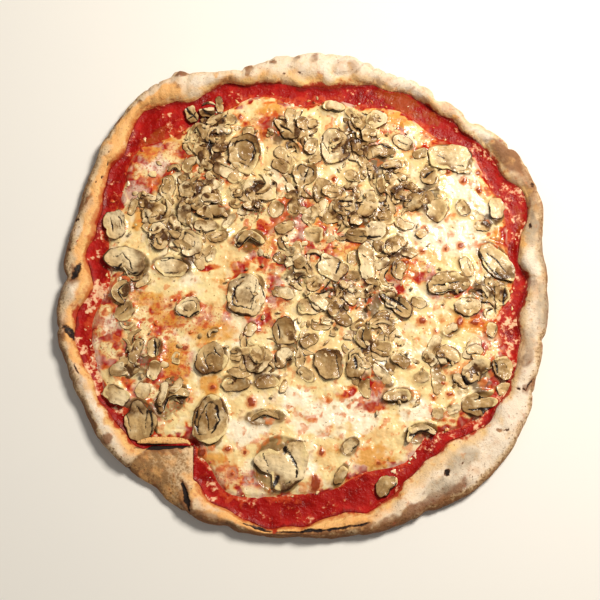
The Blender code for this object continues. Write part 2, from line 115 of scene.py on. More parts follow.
# kind, x, y, length, width, turn; the number is the place in the list, from 1.
SLICES = (
    ("whole", -15, -119, 33, 37, 165), ("disc", -60.5, -91, 34, 22, 84),
    ("leaf", -106.5, -91, 30, 21, 97), ("slab", -122.5, -74, 18, 11, -30),
    ("cap", -118, 16, 30, 20, -12), ("curl", -121.5, -4, 18, 12, 80),
    ("slab", -127, 42, 20, 14, 98), ("cap", -97, 34, 19, 15, -80),
    ("leaf", -88, 13, 25, 15, 172), ("disc", -75.5, 29, 20, 15, 100),
    ("disc", -91.5, 68, 17, 10, 85), ("slab", -65.5, 69.5, 17, 7.5, 0),
    ("cap", -61, 50.5, 21, 9.5, 4), ("slab", -65.5, 41, 16, 7.5, -3),
    ("stem", -79.5, 50.5, 16, 6, 103), ("disc", -40, 92, 27, 22, 80),
    ("slab", -65.5, 122, 11, 7.5, 10), ("slab", -76.5, 120.5, 12, 8, 112),
    ("slab", -53, 116, 14, 8, 5), ("cap", -67.5, 96, 17, 14, 75),
    ("slab", -28.5, 67, 24, 15, -10), ("curl", -87, -77, 26, 16, 40),
    ("whole", -12, 110, 20, 13, 142), ("cap", 20.5, 125.5, 16, 9, -4),
    ("disc", 22, 97, 24, 21, 90), ("disc", 50, 116, 15, 13, 20),
    ("cap", 52, 93, 22, 11, 0), ("disc", 1, 78, 18, 16, 80),
    ("slab", 28, 54.5, 14, 12, 0), ("whole", 43.5, 37, 26, 13, 183),
    ("stem", 46, 55, 19, 7, 88), ("stem", 43, 14.5, 26, 10, 97),
    ("slab", 61.5, 28, 14, 10, 30), ("slab", 19, 12, 20, 15, -32),
    ("curl", -36, 31, 20, 14, 10), ("disc", -38, -7, 29, 25, 85),
    ("disc", -76, -15, 16, 14, 10), ("slab", -12.5, -31, 19, 14, 98),
    ("disc", -30, -50, 19, 18, 40), ("disc", -60.5, -50, 22, 20, 30),
    ("cap", -44.5, -66, 18, 11, 178), ("slab", 5.5, -14, 18, 11, 6),
    ("slab", 17, -53, 20, 18, 94), ("disc", 34.8, -53, 19, 13, 88),
    ("curl", 40, -36, 19, 11, 104), ("whole", 61.5, -12, 25, 12, 145),
    ("cap", 62.5, -74.5, 19, 10, 4), ("cap", 95.5, -47, 16, 12, -14),
    ("stem", 112.5, -57.5, 20, 12, 44), ("whole", 117, -79.5, 25, 16, 12),
    ("curl", 76, -98.5, 21, 12, 18), ("cap", 54, -133, 17, 13, 56),
    ("disc", 109.5, -14.5, 17, 13, 8), ("cap", 96.5, 0.5, 28, 17, 4),
    ("leaf", 129.5, 15.5, 33, 18, -50), ("slab", 100, 89, 29, 18, -8),
    ("disc", 131.5, -55.5, 16, 13, 95),
)
# Thickness of each kind of slice in the frame.
THICK = {
    "whole": 3.0, "cap": 3.2, "disc": 2.6, "slab": 2.8, "stem": 4.2, "leaf": 2.4,
    "curl": 4.4,
}
# How much of the frame's thickness a slice shows above the cheese it has sunk into.
SHOWN = 0.6
# Points round a slice, rings from its edge inwards, and how far its outline strays.
LARGE_MESH = (64, 15, 0.06)
HEAPED_MESH = (22, 4, 0.08)
BIT_MESH = (40, 9, 0.06)
CRUMB_MESH = (8, 1, 0.08)
# The kinds strewn over heaps of slices and of crumbs, the commoner ones repeated.
HEAPED_KINDS = ("slab", "cap", "cap", "cap", "disc", "curl", "curl", "curl", "leaf", "stem")
CRUMB_KINDS = ("slab", "slab", "disc", "leaf", "stem")
# The rows of a slice's edge from its underside up: share of its radius and of its
# thickness. The coarse one is for the slices that are heaped by the hundred.
FINE_EDGE = [(0.5, -0.5), (0.96, -0.5), (1.0, -0.38), (1.0, 0.3), (0.985, 0.46), (0.96, 0.5)]
COARSE_EDGE = [(0.88, -0.5), (1.0, 0.1), (0.94, 0.46)]
# The palest and the brownest of the large slices, by number.
PALE_SLICES = (1, 5, 7, 9, 14, 21, 24, 25, 31, 32, 39, 55, 56)
BROWN_SLICES = (2, 13, 16, 20, 27, 35, 41, 43, 46, 50, 57)
# Which way the painted shaded side of some large slices faces, in degrees, by number.
SHADED_SIDE = {1: 250, 2: 200, 3: 100, 5: 0, 9: 290, 16: 20, 23: 300, 25: 330, 36: 160,
              39: 200, 40: 250, 43: 90, 55: 300, 56: 250}
# Smaller slices and pieces half sunk in the cheese: kind, x, y, length, width, turn.
BITS = (
    ("slab", -71.5, 55.5, 8, 7, 30), ("cap", -62, 59.5, 13, 8, 0),
    ("disc", -78.5, 66, 12, 11, 90), ("slab", -49.5, 44.5, 12, 5, 48),
    ("slab", -105, -70.5, 11, 9, 80), ("cap", -98, -42, 14, 10, 80),
    ("slab", -98, -57, 13, 8, 68), ("stem", -110.5, -45, 18, 7, 68),
    ("slab", -118.5, -17.5, 14, 12, 45), ("curl", -117, -27, 11, 6, 170),
    ("slab", -121.5, -57, 11, 9, 20), ("curl", -72, 109.5, 13, 8, 20),
    ("cap", -54, 108, 10, 8, 10), ("slab", -37, 107.5, 8, 7, 0),
    ("curl", -6.5, 96.5, 11, 7, -30), ("slab", 46, 104.5, 12, 9, 0),
    ("cap", 61, 83.5, 13, 8, 10), ("stem", 41, 79, 12, 5, 82),
    ("slab", 20, 65, 15, 8, -8), ("slab", 36, 45, 9, 7, 0),
    ("cap", 75.5, 55, 11, 10, 20), ("disc", 90, 52, 16, 14, 60),
    ("slab", 108, 53.5, 11, 8, 120), ("slab", 131, 53.5, 16, 10, 92),
    ("disc", 85.5, 76.5, 14, 11, 80), ("slab", 64, 11, 13, 9, 75),
    ("disc", -18, 53, 12, 10, 60), ("curl", -3, 3.5, 14, 11, 80),
    ("slab", -13, -5, 14, 8, -10), ("slab", -9, 23, 8, 7, 0),
    ("slab", -2.5, 15, 8, 7, 30), ("cap", -13, -49, 15, 12, 60),
    ("slab", -23.5, -64.5, 15, 9, 15), ("cap", 22, -15.5, 13, 11, 60),
    ("slab", 16, -24, 8, 6, 0), ("curl", 51, -26.5, 18, 7, 10),
    ("slab", 52.5, -42.5, 15, 10, -20), ("slab", 64.5, -50.5, 13, 8, -35),
    ("stem", 51.5, -59.5, 18, 6, -50), ("cap", 103, -64.5, 13, 7, -45),
    ("cap", 113.5, -44, 11, 8, 0), ("curl", 118.5, -4, 13, 8, -20),
    ("disc", 132.5, -6.5, 13, 11, 100), ("curl", -24.5, -88, 23, 10, 2),
    ("disc", -6, 53.5, 12, 9, 90), ("slab", 33.5, 18.5, 10, 7, 85),
    ("slab", -44, -46.5, 10, 7, 80), ("cap", -33.5, 54, 14, 8, -10),
    ("slab", -114.5, 54.5, 12, 5, 66), ("slab", -107, 57, 7, 6, 10),
    ("curl", -87, 81, 10, 7, 0), ("slab", -45, 64, 8, 7, 0),
    ("slab", 0, 113, 9, 8, 90), ("slab", 6.5, 113, 7, 6, 20),
    ("slab", 5.5, 96.8, 12, 8, 72), ("slab", 36.5, 96, 8, 6, 90),
    ("slab", 34, 119, 14, 5, -50), ("slab", 109.5, 13, 14, 8, 110),
    ("slab", 24, -126.5, 14, 6, 60), ("slab", 121, 41, 10, 7, 0),
    ("slab", 7, 35, 14, 10, 0), ("cap", 31, -107, 13, 9, 45),
    ("slab", 88, -86, 8, 7, 0), ("slab", 98.5, -83, 9, 6, 20),
    ("curl", -60, -32, 8, 5, 40), ("slab", 132, -69, 10, 7, 20),
    ("slab", 68, 62, 14, 6, 0), ("slab", 52.5, 69, 13, 5, 95),
    ("slab", 8.5, 87.5, 9, 5, 10), ("cap", 109, 79.5, 9, 6, 0),
    ("slab", -57.5, 128, 12, 5, 100), ("curl", -64.5, 128.5, 11, 4, 0),
    ("slab", -100, 47, 9, 8, 20), ("cap", -86.5, 42.5, 12, 8, -60),
    ("slab", -57, 33.5, 13, 7, 25), ("slab", -45, 76, 12, 8, 40),
    ("slab", -54, 80, 13, 9, -20), ("cap", -77, 84, 13, 9, 60),
    ("slab", -15, 83, 12, 8, -25), ("slab", -12, 40, 13, 8, 20),
    ("slab", 8, 1, 12, 8, 50), ("cap", 30, -1, 12, 8, -30),
    ("slab", 4, -37, 13, 8, 30), ("slab", 2, -60, 12, 7, -35),
    ("slab", -35, -30, 10, 7, 60), ("slab", 78, -62, 10, 7, 10),
    ("slab", 84, -50, 9, 7, -50), ("cap", 98, -30, 11, 7, 30),
    ("slab", 125, -30, 10, 7, 70), ("slab", 77, -12, 10, 7, -20),
    ("slab", 80, 36, 9, 6, 40), ("slab", 33, 76, 10, 7, -30),
    ("slab", 68, 100, 14, 9, -25), ("slab", 80, 92, 10, 7, 20),
)
# Heaps of middling slices: x, y, radius of the heap, how many.
SLICE_HEAPS = (
    (-63, 112, 12, 15), (-62, 92, 15, 12), (-70, 60, 22, 26), (-92, 40, 14, 10),
    (-104, 58, 9, 5), (-36, 62, 14, 8), (-8, 104, 18, 10), (36, 104, 18, 12),
    (50, 84, 14, 8), (34, 50, 22, 20), (66, 62, 14, 8), (84, 62, 12, 6),
    (-2, 62, 18, 9), (-6, 14, 20, 12), (22, -6, 20, 14), (46, -14, 16, 10),
    (44, -50, 20, 12), (-30, -56, 16, 7), (-10, -42, 14, 8), (-112, -52, 13, 8),
    (-86, -66, 12, 5), (114, -64, 13, 9), (122, -4, 11, 6), (90, -50, 12, 5),
    (124, 44, 8, 3), (-112, 2, 10, 4), (-76, 24, 13, 7), (62, 20, 12, 6),
    (-66, 125, 8, 6),
)
# Heaps of crumbs and shreds: x, y, radius of the heap, how many.
CRUMB_HEAPS = (
    (-62, 112, 20, 34), (-66, 62, 24, 60), (-104, 46, 16, 26), (-30, 62, 18, 30),
    (-10, 106, 22, 30), (44, 104, 20, 34), (38, 50, 22, 50), (56, 84, 18, 26),
    (-8, 6, 26, 56), (26, -20, 30, 66), (54, -46, 20, 34), (-40, -52, 22, 26),
    (-100, -52, 22, 26), (114, -66, 18, 30), (122, -4, 16, 26), (78, 58, 24, 26),
    (-84, -78, 14, 10), (20, 74, 26, 30), (60, -76, 22, 14), (92, 10, 20, 14),
)
# Dark strokes of gills and slits on the slices, some of them painted shadows beside slices: from
# x, y to x, y, and half width.
GILL_AND_SHADOW_STROKES = (
    (-127, 19, -121, 21, 0.5), (-121, 21, -116, 16, 0.6), (-116, 16, -114, 10, 0.8),
    (-104, 13, -98, 6, 0.5), (-96, 17, -86, 19, 0.5), (-82, 9, -94, 8, 0.5),
    (-130, 47, -127, 36, 0.5), (-124, 48, -122, 40, 0.5), (-31, 4, -34, -17, 0.5),
    (-44, 4, -38, 7, 0.5), (12, 102, 18, 91, 0.5), (27, 91, 30, 99, 0.5),
    (-110, -80, -104, -86, 0.6), (-101, -82, -103, -96, 0.5), (-14, -133, -8, -130, 0.6),
    (-11, -108, -4, -121, 1.1), (-4, -121, -5, -128, 0.9), (-24, -122, -20, -135, 0.8),
    (-26, -112, -22, -121, 0.6), (-57, -80, -55, -91, 1.2), (-55, -91, -60, -99, 1.0),
    (-68, -82, -71, -92, 0.8), (-71, -92, -67, -100, 0.8), (-63, -83, -62, -96, 0.5),
    (-110.5, -104.5, -110.4, -104.2, 1.0), (-106, -103.5, -105.9, -103.4, 0.9),
    (-116, -84, -113, -98, 0.5), (-120, 16, -124, 9, 1.2), (-124, 9, -119, 6, 0.9),
    (-108, 36, -107, 29, 2.2), (-79.5, 36, -79, 34.5, 1.6), (-70, 45.5, -52, 45.5, 1.0),
    (-49, 96, -45, 102, 0.6), (-44, 85, -36, 83, 0.7), (-34, 88, -32, 96, 0.7),
    (-20.5, 71, -19, 69.5, 1.5), (-36, 66, -30, 72, 0.5), (-16, 113, -8, 106, 1.1),
    (27, 96, 27.2, 96.3, 1.4), (20, 100, 18, 94, 0.6), (42, 97.6, 62, 97, 1.0),
    (24, 57.5, 32, 57.5, 0.9), (24, 51.5, 32, 51.5, 0.8), (38, 34, 52, 33, 0.9),
    (49, 2, 49.5, 25, 1.1), (22, 8, 26, 18, 1.1), (-45, 30, -37, 24, 1.4),
    (-37, 24, -29, 30, 1.2), (-33, -17, -32, -16.5, 1.8), (-28, 2, -26, -8, 0.6),
    (-46, 0, -44, -12, 0.6), (-83, -18, -76, -22, 1.0), (-76, -22, -69, -18, 1.0),
    (8, -44, 6, -53, 0.9), (6, -53, 9, -61, 0.9), (22, -45, 24, -60, 0.5),
    (34.8, -49, 34.8, -57, 1.4), (38, -30, 44, -34, 0.7), (37, -36, 43, -41, 0.7),
    (53, -6, 70, -16, 1.3), (54, -11, 66, -19, 1.2), (104, -62, 114, -69, 1.6),
    (107, -84, 126, -81, 1.0), (112, -76, 120, -75, 0.6), (66, -102, 86, -95, 0.9),
    (111, -5, 117.5, -7, 0.9), (117.5, -7, 119, -14, 0.9), (84, -1, 108, 3, 0.8),
    (122, 24, 138, 6, 0.6), (88, 92, 96, 88, 0.5), (104, 84, 112, 82, 0.5),
    (-70, 126, -61, 119, 1.2), (-80, 125, -73, 117, 1.1), (-79, 117, -74, 122, 0.7),
    (-98, -36, -98, -48, 1.0), (133, -12, 134, 0, 1.1), (82, 74, 88, 79, 1.2),
    (-20, -45, -18, -53, 1.2), (-61, 4, -58, -2, 0.8), (45, -71, 42, -69, 0.8),
    (-64, 101, -62, 94, 1.3), (-52, 119, -56, 113, 1.2), (4, 82, 0, 73, 0.7),
    (-60, -42, -54, -48, 0.6), (-66, -46, -62, -56, 0.6), (125, -50, 128, -60, 1.0),
)

# ---------------------------------------------------------------- marks and spots

# On the rim, by kind: angle, radius, half length, half width, strength.
RIM_MARKS = {
    "flour": (
        (4, 154, 16, 7, 0.9), (40, 157, 14, 9, 1), (63, 157, 15, 7, 1), (82, 154, 9, 10, 1),
        (116, 158, 12, 9, 0.8), (127, 172, 9, 3, 0.7), (167, 158, 16, 4, 0.6),
        (180.5, 156, 10, 7, 0.7), (212, 159, 22, 5, 0.8), (248, 157, 14, 4, 0.6),
        (326, 158, 20, 9, 1), (352, 155, 18, 7, 0.7),
    ),
    "oil": (
        (12, 146, 8, 6, 1), (22.5, 160, 8, 4, 0.7), (49, 157, 2.2, 2.2, 0.9),
        (60, 149, 14, 2.4, 0.7), (86, 144, 4, 4, 0.8), (111.5, 158, 3, 3, 0.8),
        (133, 163, 34, 6, 0.9), (149, 153, 15, 5, 0.9), (166, 150, 18, 3.6, 0.9),
        (182, 146, 7, 4, 0.9), (186.5, 152, 8, 7, 0.7), (197.5, 155, 8, 5, 0.9),
        (269, 157, 38, 3.4, 1), (294, 149, 8, 3, 0.7),
    ),
    "char": (
        (15, 158, 2, 1, 0.8), (24, 170, 2.5, 1.5, 0.6), (63, 146, 2, 1.2, 0.7),
        (91, 149, 1, 0.8, 0.7), (95, 149, 1, 0.8, 0.7), (119.6, 173, 3, 1.5, 0.6),
        (138.4, 173, 1.6, 1.2, 0.7), (145, 161, 1, 0.7, 0.8), (147.5, 157, 1, 0.7, 0.8),
        (151, 155, 1, 0.8, 0.8), (153, 157, 1, 0.7, 0.8), (163.5, 158, 0.8, 2, 0.8),
        (171.5, 158, 0.8, 2, 0.8), (201, 159, 4, 0.7, 0.7), (227, 166, 2, 1.2, 0.7),
    ),
    # Toasted patches. The two on the outer wall at 292 and 298.5 degrees are painted shade.
    "toast_and_shade": (
        (25, 166, 26, 8, 0.6), (14, 161, 9, 4, 0.6), (4, 165, 18, 2.6, 0.7), (32, 165, 8, 9, 0.9),
        (41, 166, 5, 3, 0.5), (60, 150.5, 14, 1.4, 0.6), (77, 157, 6, 6, 0.5),
        (87, 161, 3.6, 6, 0.6), (92, 159, 4, 4, 0.6), (98, 158, 3, 3, 0.7),
        (103.5, 155, 3, 5, 0.8), (119.6, 171, 4, 4, 1), (122, 164, 3, 5, 0.8),
        (130.5, 168, 2.6, 3.6, 1), (134, 171, 3, 2, 0.9), (138, 171, 5, 2.4, 1),
        (157, 155, 7, 2.2, 1), (203, 160, 5, 5, 0.6), (212, 167, 24, 2.6, 0.9),
        (218.8, 164, 5, 4, 0.8), (248, 164, 16, 4, 0.7), (292, 166, 24, 5, 0.8),
        (298.5, 165, 36, 5.5, 0.9), (341.5, 156, 8, 6, 0.65), (352, 164, 26, 2.5, 0.7),
    ),
    # Painted grey shade, where the crest and the outer wall fall in shade.
    "painted_grey_shade": (
        (16, 157, 18, 6, 1), (354, 160, 16, 5, 1), (312, 156, 14, 7, 1), (303, 160, 16, 6, 0.9),
        (345, 156, 14, 5, 0.6), (8, 160, 16, 4, 0.8), (100, 163, 8, 5, 0.6), (72, 163, 12, 4, 0.5),
        (182, 158, 9, 4, 0.7),
    ),
    "tomato": (
        (169, 153, 1.3, 1.3, 0.9), (186.5, 150, 6, 4, 0.5),
    ),
}
# Anywhere on the dough, by kind: x, y, half length, half width, turn, strength.
STROKES = {
    "char": (
        (-151, 8.5, 7, 2.4, 68, 0.9), (-154, -32, 7, 2.4, -48, 0.9),
        (-29.5, -159, 10, 1.2, -17, 1), (0, -161.8, 18, 1.2, 2, 1), (22, -160.2, 11, 1.1, 9, 0.9),
        (36, -158, 8, 0.9, 12, 0.8), (92.5, -124.5, 2.3, 1.8, 60, 1),
        (103.5, -118, 0.9, 0.7, 0, 0.8), (132, -96.5, 2, 0.9, 0, 0.9), (143, -69.7, 4, 0.7, -8, 1),
        (149, -66.5, 5, 0.7, 50, 1), (-91, -107.3, 17, 1.6, 2, 1.2),
        (-75.5, -139.5, 10, 1.5, 106, 1.3), (-113, -121, 2, 1, 40, 0.7),
    ),
    "tomato": (
        (-18.5, -159, 1.8, 4.5, 0, 1),
    ),
    "toast_and_shade": (
        (127, -96.5, 3, 1.4, 0, 0.9), (139, 89, 17, 8, -48, 1), (-104, -112, 5, 9, 0, 0.5),
    ),
    "oil": (
        (-90, -104.4, 13, 1.8, 0, 1),
    ),
}
# How far melted cheese has spread over the sauce, every 20 degrees.
SAUCE_MILKY = (0.6, 0.7, 0.4, 0.1, 0.4, 0.2, 0.5, 0.4, 0.4, 1.1, 1.0, 0.7, 0.9, 0.5, 0.3,
               0.5, 0.7, 0.8)
# Sauce browned by the oven: x, y, half length, half width, turn, strength.
SAUCE_BROWNED = (
    (67, 130, 16, 6, -27, 1.0), (86, 119, 9, 4, -36, 0.7), (146, 47, 10, 4, -72, 0.7),
    (-100, 104, 12, 5, 44, 0.7),
)
# How golden the inner lip is and how brown the outer wall, every 30 degrees.
LIP_GOLD = (0.15, 0.3, 0.35, 0.35, 0.5, 0.95, 0.95, 0.5, 0.8, 1.0, 0.25, 0.05)
WALL_BROWN = (0.8, 0.6, 0.15, 0.1, 0.3, 0.8, 1.0, 0.8, 0.95, 1.0, 1.0, 0.6)
# How pale and floury the crest is, and how puckered, every 30 degrees.
CREST_PALE = (0.55, 0.5, 0.85, 0.75, 0.7, 0.25, 0.3, 0.85, 0.3, 0.2, 0.85, 1.0)
PUCKERED = (0.25, 0.5, 1.0, 0.8, 0.6, 0.4, 0.3, 0.3, 0.2, 0.4, 0.25, 0.15)
RING = 1.8  # width of the orange ring round a blister
# On the cheese, by kind: x, y, half length, half width, strength.
CHEESE_SPOTS = {
    "blister": (
        (98.5, 79, 1.9, 1.9, 1), (109, 73, 1.8, 1.8, 1), (119, 78.5, 2, 2, 1),
        (119, 66, 2.3, 2.3, 1), (106, 27.5, 1.9, 1.9, 1), (96, 26, 1.4, 1.4, 1), (21, 74, 2, 2, 1),
        (127, 33, 1.2, 1.2, 0.6), (104, -24.5, 2.4, 2.8, 1), (114, -25, 3, 2.4, 1),
        (121, -32, 1.3, 1.3, 0.9), (88, -31, 1.3, 1.3, 0.9), (79, -24, 2.6, 2.6, 1),
        (85, -75, 1.6, 1.6, 0.9), (96, -73, 2.4, 1.5, 0.9), (92, -66, 1.5, 1.5, 0.9),
        (-43, 118.5, 1.7, 1.7, 0.9), (-25, 106, 3.4, 2.6, 0.8), (-14, 87, 2, 1.6, 0.8),
        (-59.5, -68, 1.8, 1.8, 1), (-34, -78, 2.6, 3.4, 1), (-78, -42, 2, 2, 0.9),
        (-120, -47, 2.4, 2.2, 0.8), (-49, -109, 2, 2, 1), (-38, -111, 1.8, 1.8, 0.8),
        (-66, -111, 2.6, 2.6, 1), (8, -131, 3.4, 6, 1), (12, -111, 1.8, 2.8, 0.9),
        (49, -118, 2.2, 1.6, 0.8), (60, 46, 2, 2, 0.8), (80, 24, 2, 1.6, 0.8),
        (69, 16, 3.4, 2, 0.9), (-29, -30, 2, 2, 0.9), (-38, -33, 1.8, 1.8, 0.9),
        (-102, -64, 2.2, 1.8, 0.8), (-46, -125, 1.6, 1.6, 0.8), (-74, -6, 2, 2, 0.8),
        (-88, -13, 2, 1.6, 0.8), (-48, 30, 2, 1.6, 0.7), (10, 84, 1.8, 1.6, 0.7),
        (82, 40, 1.6, 1.4, 0.7), (92, 31, 1.4, 1.4, 0.7),
    ),
    "amber": (
        (-22, 123, 10, 7, 0.9), (66, 118, 16, 7, 1), (55, 126, 9, 4, 0.9), (-105, 97, 12, 9, 1),
        (-92, 102, 8, 7, 1), (-107, 47, 9, 9, 1), (44, -114, 13, 11, 1), (-57, -114, 9, 6, 1),
        (15, 45, 11, 7, 0.9), (60, 50, 6, 10, 0.8), (114, -28, 12, 6, 0.9), (-88, -22, 14, 8, 0.9),
        (-84, -50, 8, 14, 1), (-102, -10, 14, 7, 1), (-60, -32, 18, 8, 0.8), (-50, 6, 12, 10, 0.5),
        (-80, -64, 6, 12, 0.9), (-62, -68, 8, 8, 0.9), (66, 12, 16, 10, 0.8), (8, 62, 12, 8, 0.7),
        (-26, 28, 14, 8, 0.7), (30, 24, 12, 8, 0.7), (96, -22, 12, 6, 0.6), (-36, 108, 10, 8, 0.7),
        (72, 90, 10, 6, 0.5), (132, 30, 5, 12, 0.7), (20, -108, 6, 14, 0.4), (86, 22, 12, 6, 0.6),
    ),
    "bare": (
        (-95, -30, 6, 4, 0.7), (-91, -43, 4, 7, 0.6), (-112, -73, 5, 7, 0.8),
        (-130, -52, 7, 6, 0.9), (98, 112, 9, 4, 0.9), (112, 104, 9, 5, 0.9), (140, 55, 7, 16, 1),
        (137, -33, 5, 9, 1), (122, -67, 6, 4, 0.8), (131, -45, 4, 6, 0.7), (-137, -50, 6, 10, 0.9),
        (-115, -66, 6, 4, 0.7), (-118, -88, 6, 8, 1), (109, -92.5, 8, 4, 1), (90, -100, 8, 4, 1),
        (-65, -125, 7, 8, 1), (65, -3, 6, 3, 0.7), (-62, 11, 7, 2.6, 0.9), (-25, -18, 3, 4.5, 0.8),
        (-22, -1, 3.4, 3.4, 0.7), (104, -4, 6, 3, 0.8), (95, -2, 8, 3, 0.8),
        (-105, -12, 7, 3, 0.6), (45, -57, 2.4, 3.5, 0.8), (-28, 115, 4, 2.6, 0.6),
        (-76, -122, 5, 6, 0.8), (-95, 82, 12, 5, 0.7), (-112, 66, 6, 7, 0.6),
        (-103, -100, 12, 4, 1), (-66, 82, 8, 3, 0.6), (-84, -8, 5, 3, 0.6),
        (-10, 130, 16, 3.4, 0.7), (-95, -32, 5, 3, 0.6),
    ),
    "mottle": (
        (-90, -50, 16, 20, 1), (-72, -22, 18, 12, 0.8), (20, 30, 22, 14, 0.8),
        (-4, 46, 14, 12, 0.8), (-122, -20, 22, 30, 1), (-104, -36, 22, 24, 1),
        (-86, -18, 22, 14, 0.9), (-112, 80, 16, 18, 1), (-94, 92, 20, 12, 0.9),
        (-92, -76, 18, 14, 0.7), (-68, -100, 10, 14, 0.6), (-24, -12, 16, 20, 0.9),
        (-18, 24, 22, 16, 0.9), (10, 30, 18, 14, 0.7), (-42, 10, 10, 12, 0.5),
        (36, -4, 22, 12, 0.8), (68, 10, 20, 10, 0.9), (100, -2, 14, 8, 0.9), (0, 56, 20, 12, 0.6),
        (54, 106, 18, 14, 0.7), (-24, 112, 18, 12, 0.8), (-62, 76, 16, 10, 0.6),
        (40, -72, 16, 16, 0.5), (8, -82, 14, 8, 0.4), (128, -50, 12, 18, 0.9),
        (128, 26, 10, 14, 0.6), (92, 100, 22, 12, 0.5), (100, -88, 18, 8, 0.8),
        (-50, -128, 22, 8, 0.8), (60, -122, 18, 8, 0.5), (120, -20, 12, 14, 0.6),
        (-60, -20, 14, 10, 0.6), (-30, 48, 14, 10, 0.6), (58, 46, 12, 10, 0.5),
    ),
    "white": (
        (100, 34, 24, 14, 1), (84, 40, 14, 8, 0.8), (20, -90, 30, 12, 1), (-35, -95, 18, 11, 1),
        (-20, -138, 12, 5, 0.8), (56, -44, 18, 9, 1), (84, -42, 12, 8, 0.9), (118, 50, 8, 14, 1),
        (118, -36, 8, 8, 0.8), (-102, 84, 12, 7, 0.6), (0, -116, 10, 14, 0.9), (74, -84, 14, 7, 1),
        (-126, -26, 7, 8, 0.9), (-98, -82, 7, 5, 0.6), (106, 70, 12, 10, 0.9), (-5, 32, 9, 5, 0.6),
        (72, 36, 12, 6, 0.7), (36, -80, 20, 8, 0.9), (-8, -76, 14, 8, 0.9), (58, -28, 8, 5, 0.7),
        (-42, -42, 8, 5, 0.7), (-120, 4, 6, 6, 0.5), (30, -34, 7, 5, 0.6), (-60, -118, 5, 5, 0.7),
        (-78, 4, 10, 6, 0.6), (-10, 94, 9, 6, 0.6),
    ),
}


# ---------------------------------------------------------------- formulas


def linear(code):
    """Turns an sRGB colour written as hex into linear light."""
    parts = np.array([int(code[i : i + 2], 16) for i in (1, 3, 5)]) / 255
    light = np.where(parts <= 0.04045, parts / 12.92, ((parts + 0.055) / 1.055) ** 2.4)
    return tuple(float(v) for v in light)


def ring_value(values, degrees):
    """Closed smooth curve through values at equal angles: cubic between each pair."""
    table = np.asarray(values, dtype=float)
    place = np.asarray(degrees, dtype=float) / (360.0 / len(table))
    low = np.floor(place).astype(int)
    t = place - low
    p0, p1, p2, p3 = (table[(low + k) % len(table)] for k in (-1, 0, 1, 2))
    return 0.5 * (
        2 * p1
        + (p2 - p0) * t
        + (2 * p0 - 5 * p1 + 4 * p2 - p3) * t**2
        + (3 * p1 - p0 - 3 * p2 + p3) * t**3
    )


def round_degrees(columns):
    """Equal angles once round, in degrees."""
    return np.arange(columns) * 360.0 / columns


def turn_between(degrees, centre):
    """Signed angle from centre, between -180 and 180."""
    return (np.asarray(degrees, dtype=float) - centre + 180.0) % 360.0 - 180.0


def bell(offset, width):
    """1 at no offset, falling smoothly to 0 some two widths away."""
    return np.exp(-((offset / width) ** 2))


def ramp(value, low, high):
    """0 below low, 1 above high, eased between them."""
    t = np.clip((value - low) / (high - low), 0.0, 1.0)
    return t * t * (3 - 2 * t)


def noise(x, y, size, seed):
    """Smooth noise from 0 to 1: random values on a square net, eased between its knots."""
    table = np.random.default_rng(seed).random((KNOTS, KNOTS))
    u, v = np.asarray(x) / size + 17.3, np.asarray(y) / size + 5.1
    i, j = np.floor(u).astype(int), np.floor(v).astype(int)
    fu, fv = ramp(u - i, 0, 1), ramp(v - j, 0, 1)
    i0, i1, j0, j1 = i % KNOTS, (i + 1) % KNOTS, j % KNOTS, (j + 1) % KNOTS
    low = table[i0, j0] + (table[i1, j0] - table[i0, j0]) * fu
    high = table[i0, j1] + (table[i1, j1] - table[i0, j1]) * fu
    return low + (high - low) * fv


def layered_noise(x, y, size, seed, layers=4):
    """Sum of noises, each half as coarse and half as strong as the one before."""
    total, weight = 0.0, 0.0
    for k in range(layers):
        total = total + noise(x, y, size / 2**k, seed + k) / 2**k
        weight += 1 / 2**k
    return total / weight


def outer_radius(degrees):
    """The rim's widest line: the outline plus its bubbles and nicks."""
    radius = ring_value(OUTER, degrees)
    for centre, rise, width in EDGE_BUMPS:
        radius = radius + rise * bell(turn_between(degrees, centre), width)
    return radius


def fold_share(degrees):
    """1 where the dough is folded in, 0 elsewhere, with short eased ends."""
    d = np.asarray(degrees, dtype=float) % 360.0
    return ramp(d, FOLD_FROM - 0.6, FOLD_FROM + 0.6) * (
        1 - ramp(d, FOLD_TO - 0.8, FOLD_TO + 0.8)
    )


def foot_radius(degrees):
    """Where the rim meets the flat base: the sauce edge with its ripples, or the fold's
    two edges."""
    angle = np.radians(np.asarray(degrees, dtype=float))
    front = abs(FOLD_FRONT_Y) / np.maximum(np.abs(np.sin(angle)), 0.2)
    side = abs(FOLD_SIDE_X) / np.maximum(np.abs(np.cos(angle)), 0.2)
    ripple = 0.9 * np.sin(19 * angle + 1) + 0.7 * np.sin(29 * angle + 2)
    edge = ring_value(SAUCE_EDGE, degrees) + ripple + 0.6 * np.sin(47 * angle)
    folded = np.minimum(edge, np.maximum(front, side))
    share = fold_share(degrees)
    return edge * (1 - share) + folded * share


def cheese_radius(degrees):
    """The cheese's edge, kept inside the sauce, with small lobes."""
    angle = np.radians(np.asarray(degrees, dtype=float))
    lobes = 1.6 * np.sin(11 * angle + 0.7) + 1.1 * np.sin(17 * angle + 2.1)
    edge = ring_value(CHEESE_EDGE, degrees) + lobes
    return np.minimum(edge, foot_radius(degrees) - 4.0)


def crest_height(degrees):
    """Crest of the rim: a slow change, a row of scallops, creases and the lower fold."""
    angle = np.radians(np.asarray(degrees, dtype=float))
    height = ring_value(CREST_HEIGHT, degrees)
    height = height + 0.7 * np.sin(23 * angle) * np.sin(3 * angle + 1.0)
    share = fold_share(degrees)
    return height * (1 - share) + FOLD_HEIGHT * share


def wander(x, y, size, distance, seed):
    """Points moved by noise, so that what is drawn from them gets a ragged outline."""
    return (
        x + distance * 2 * (layered_noise(x, y, size, seed, 3) - 0.5),
        y + distance * 2 * (layered_noise(x, y, size, seed + 50, 3) - 0.5),
    )


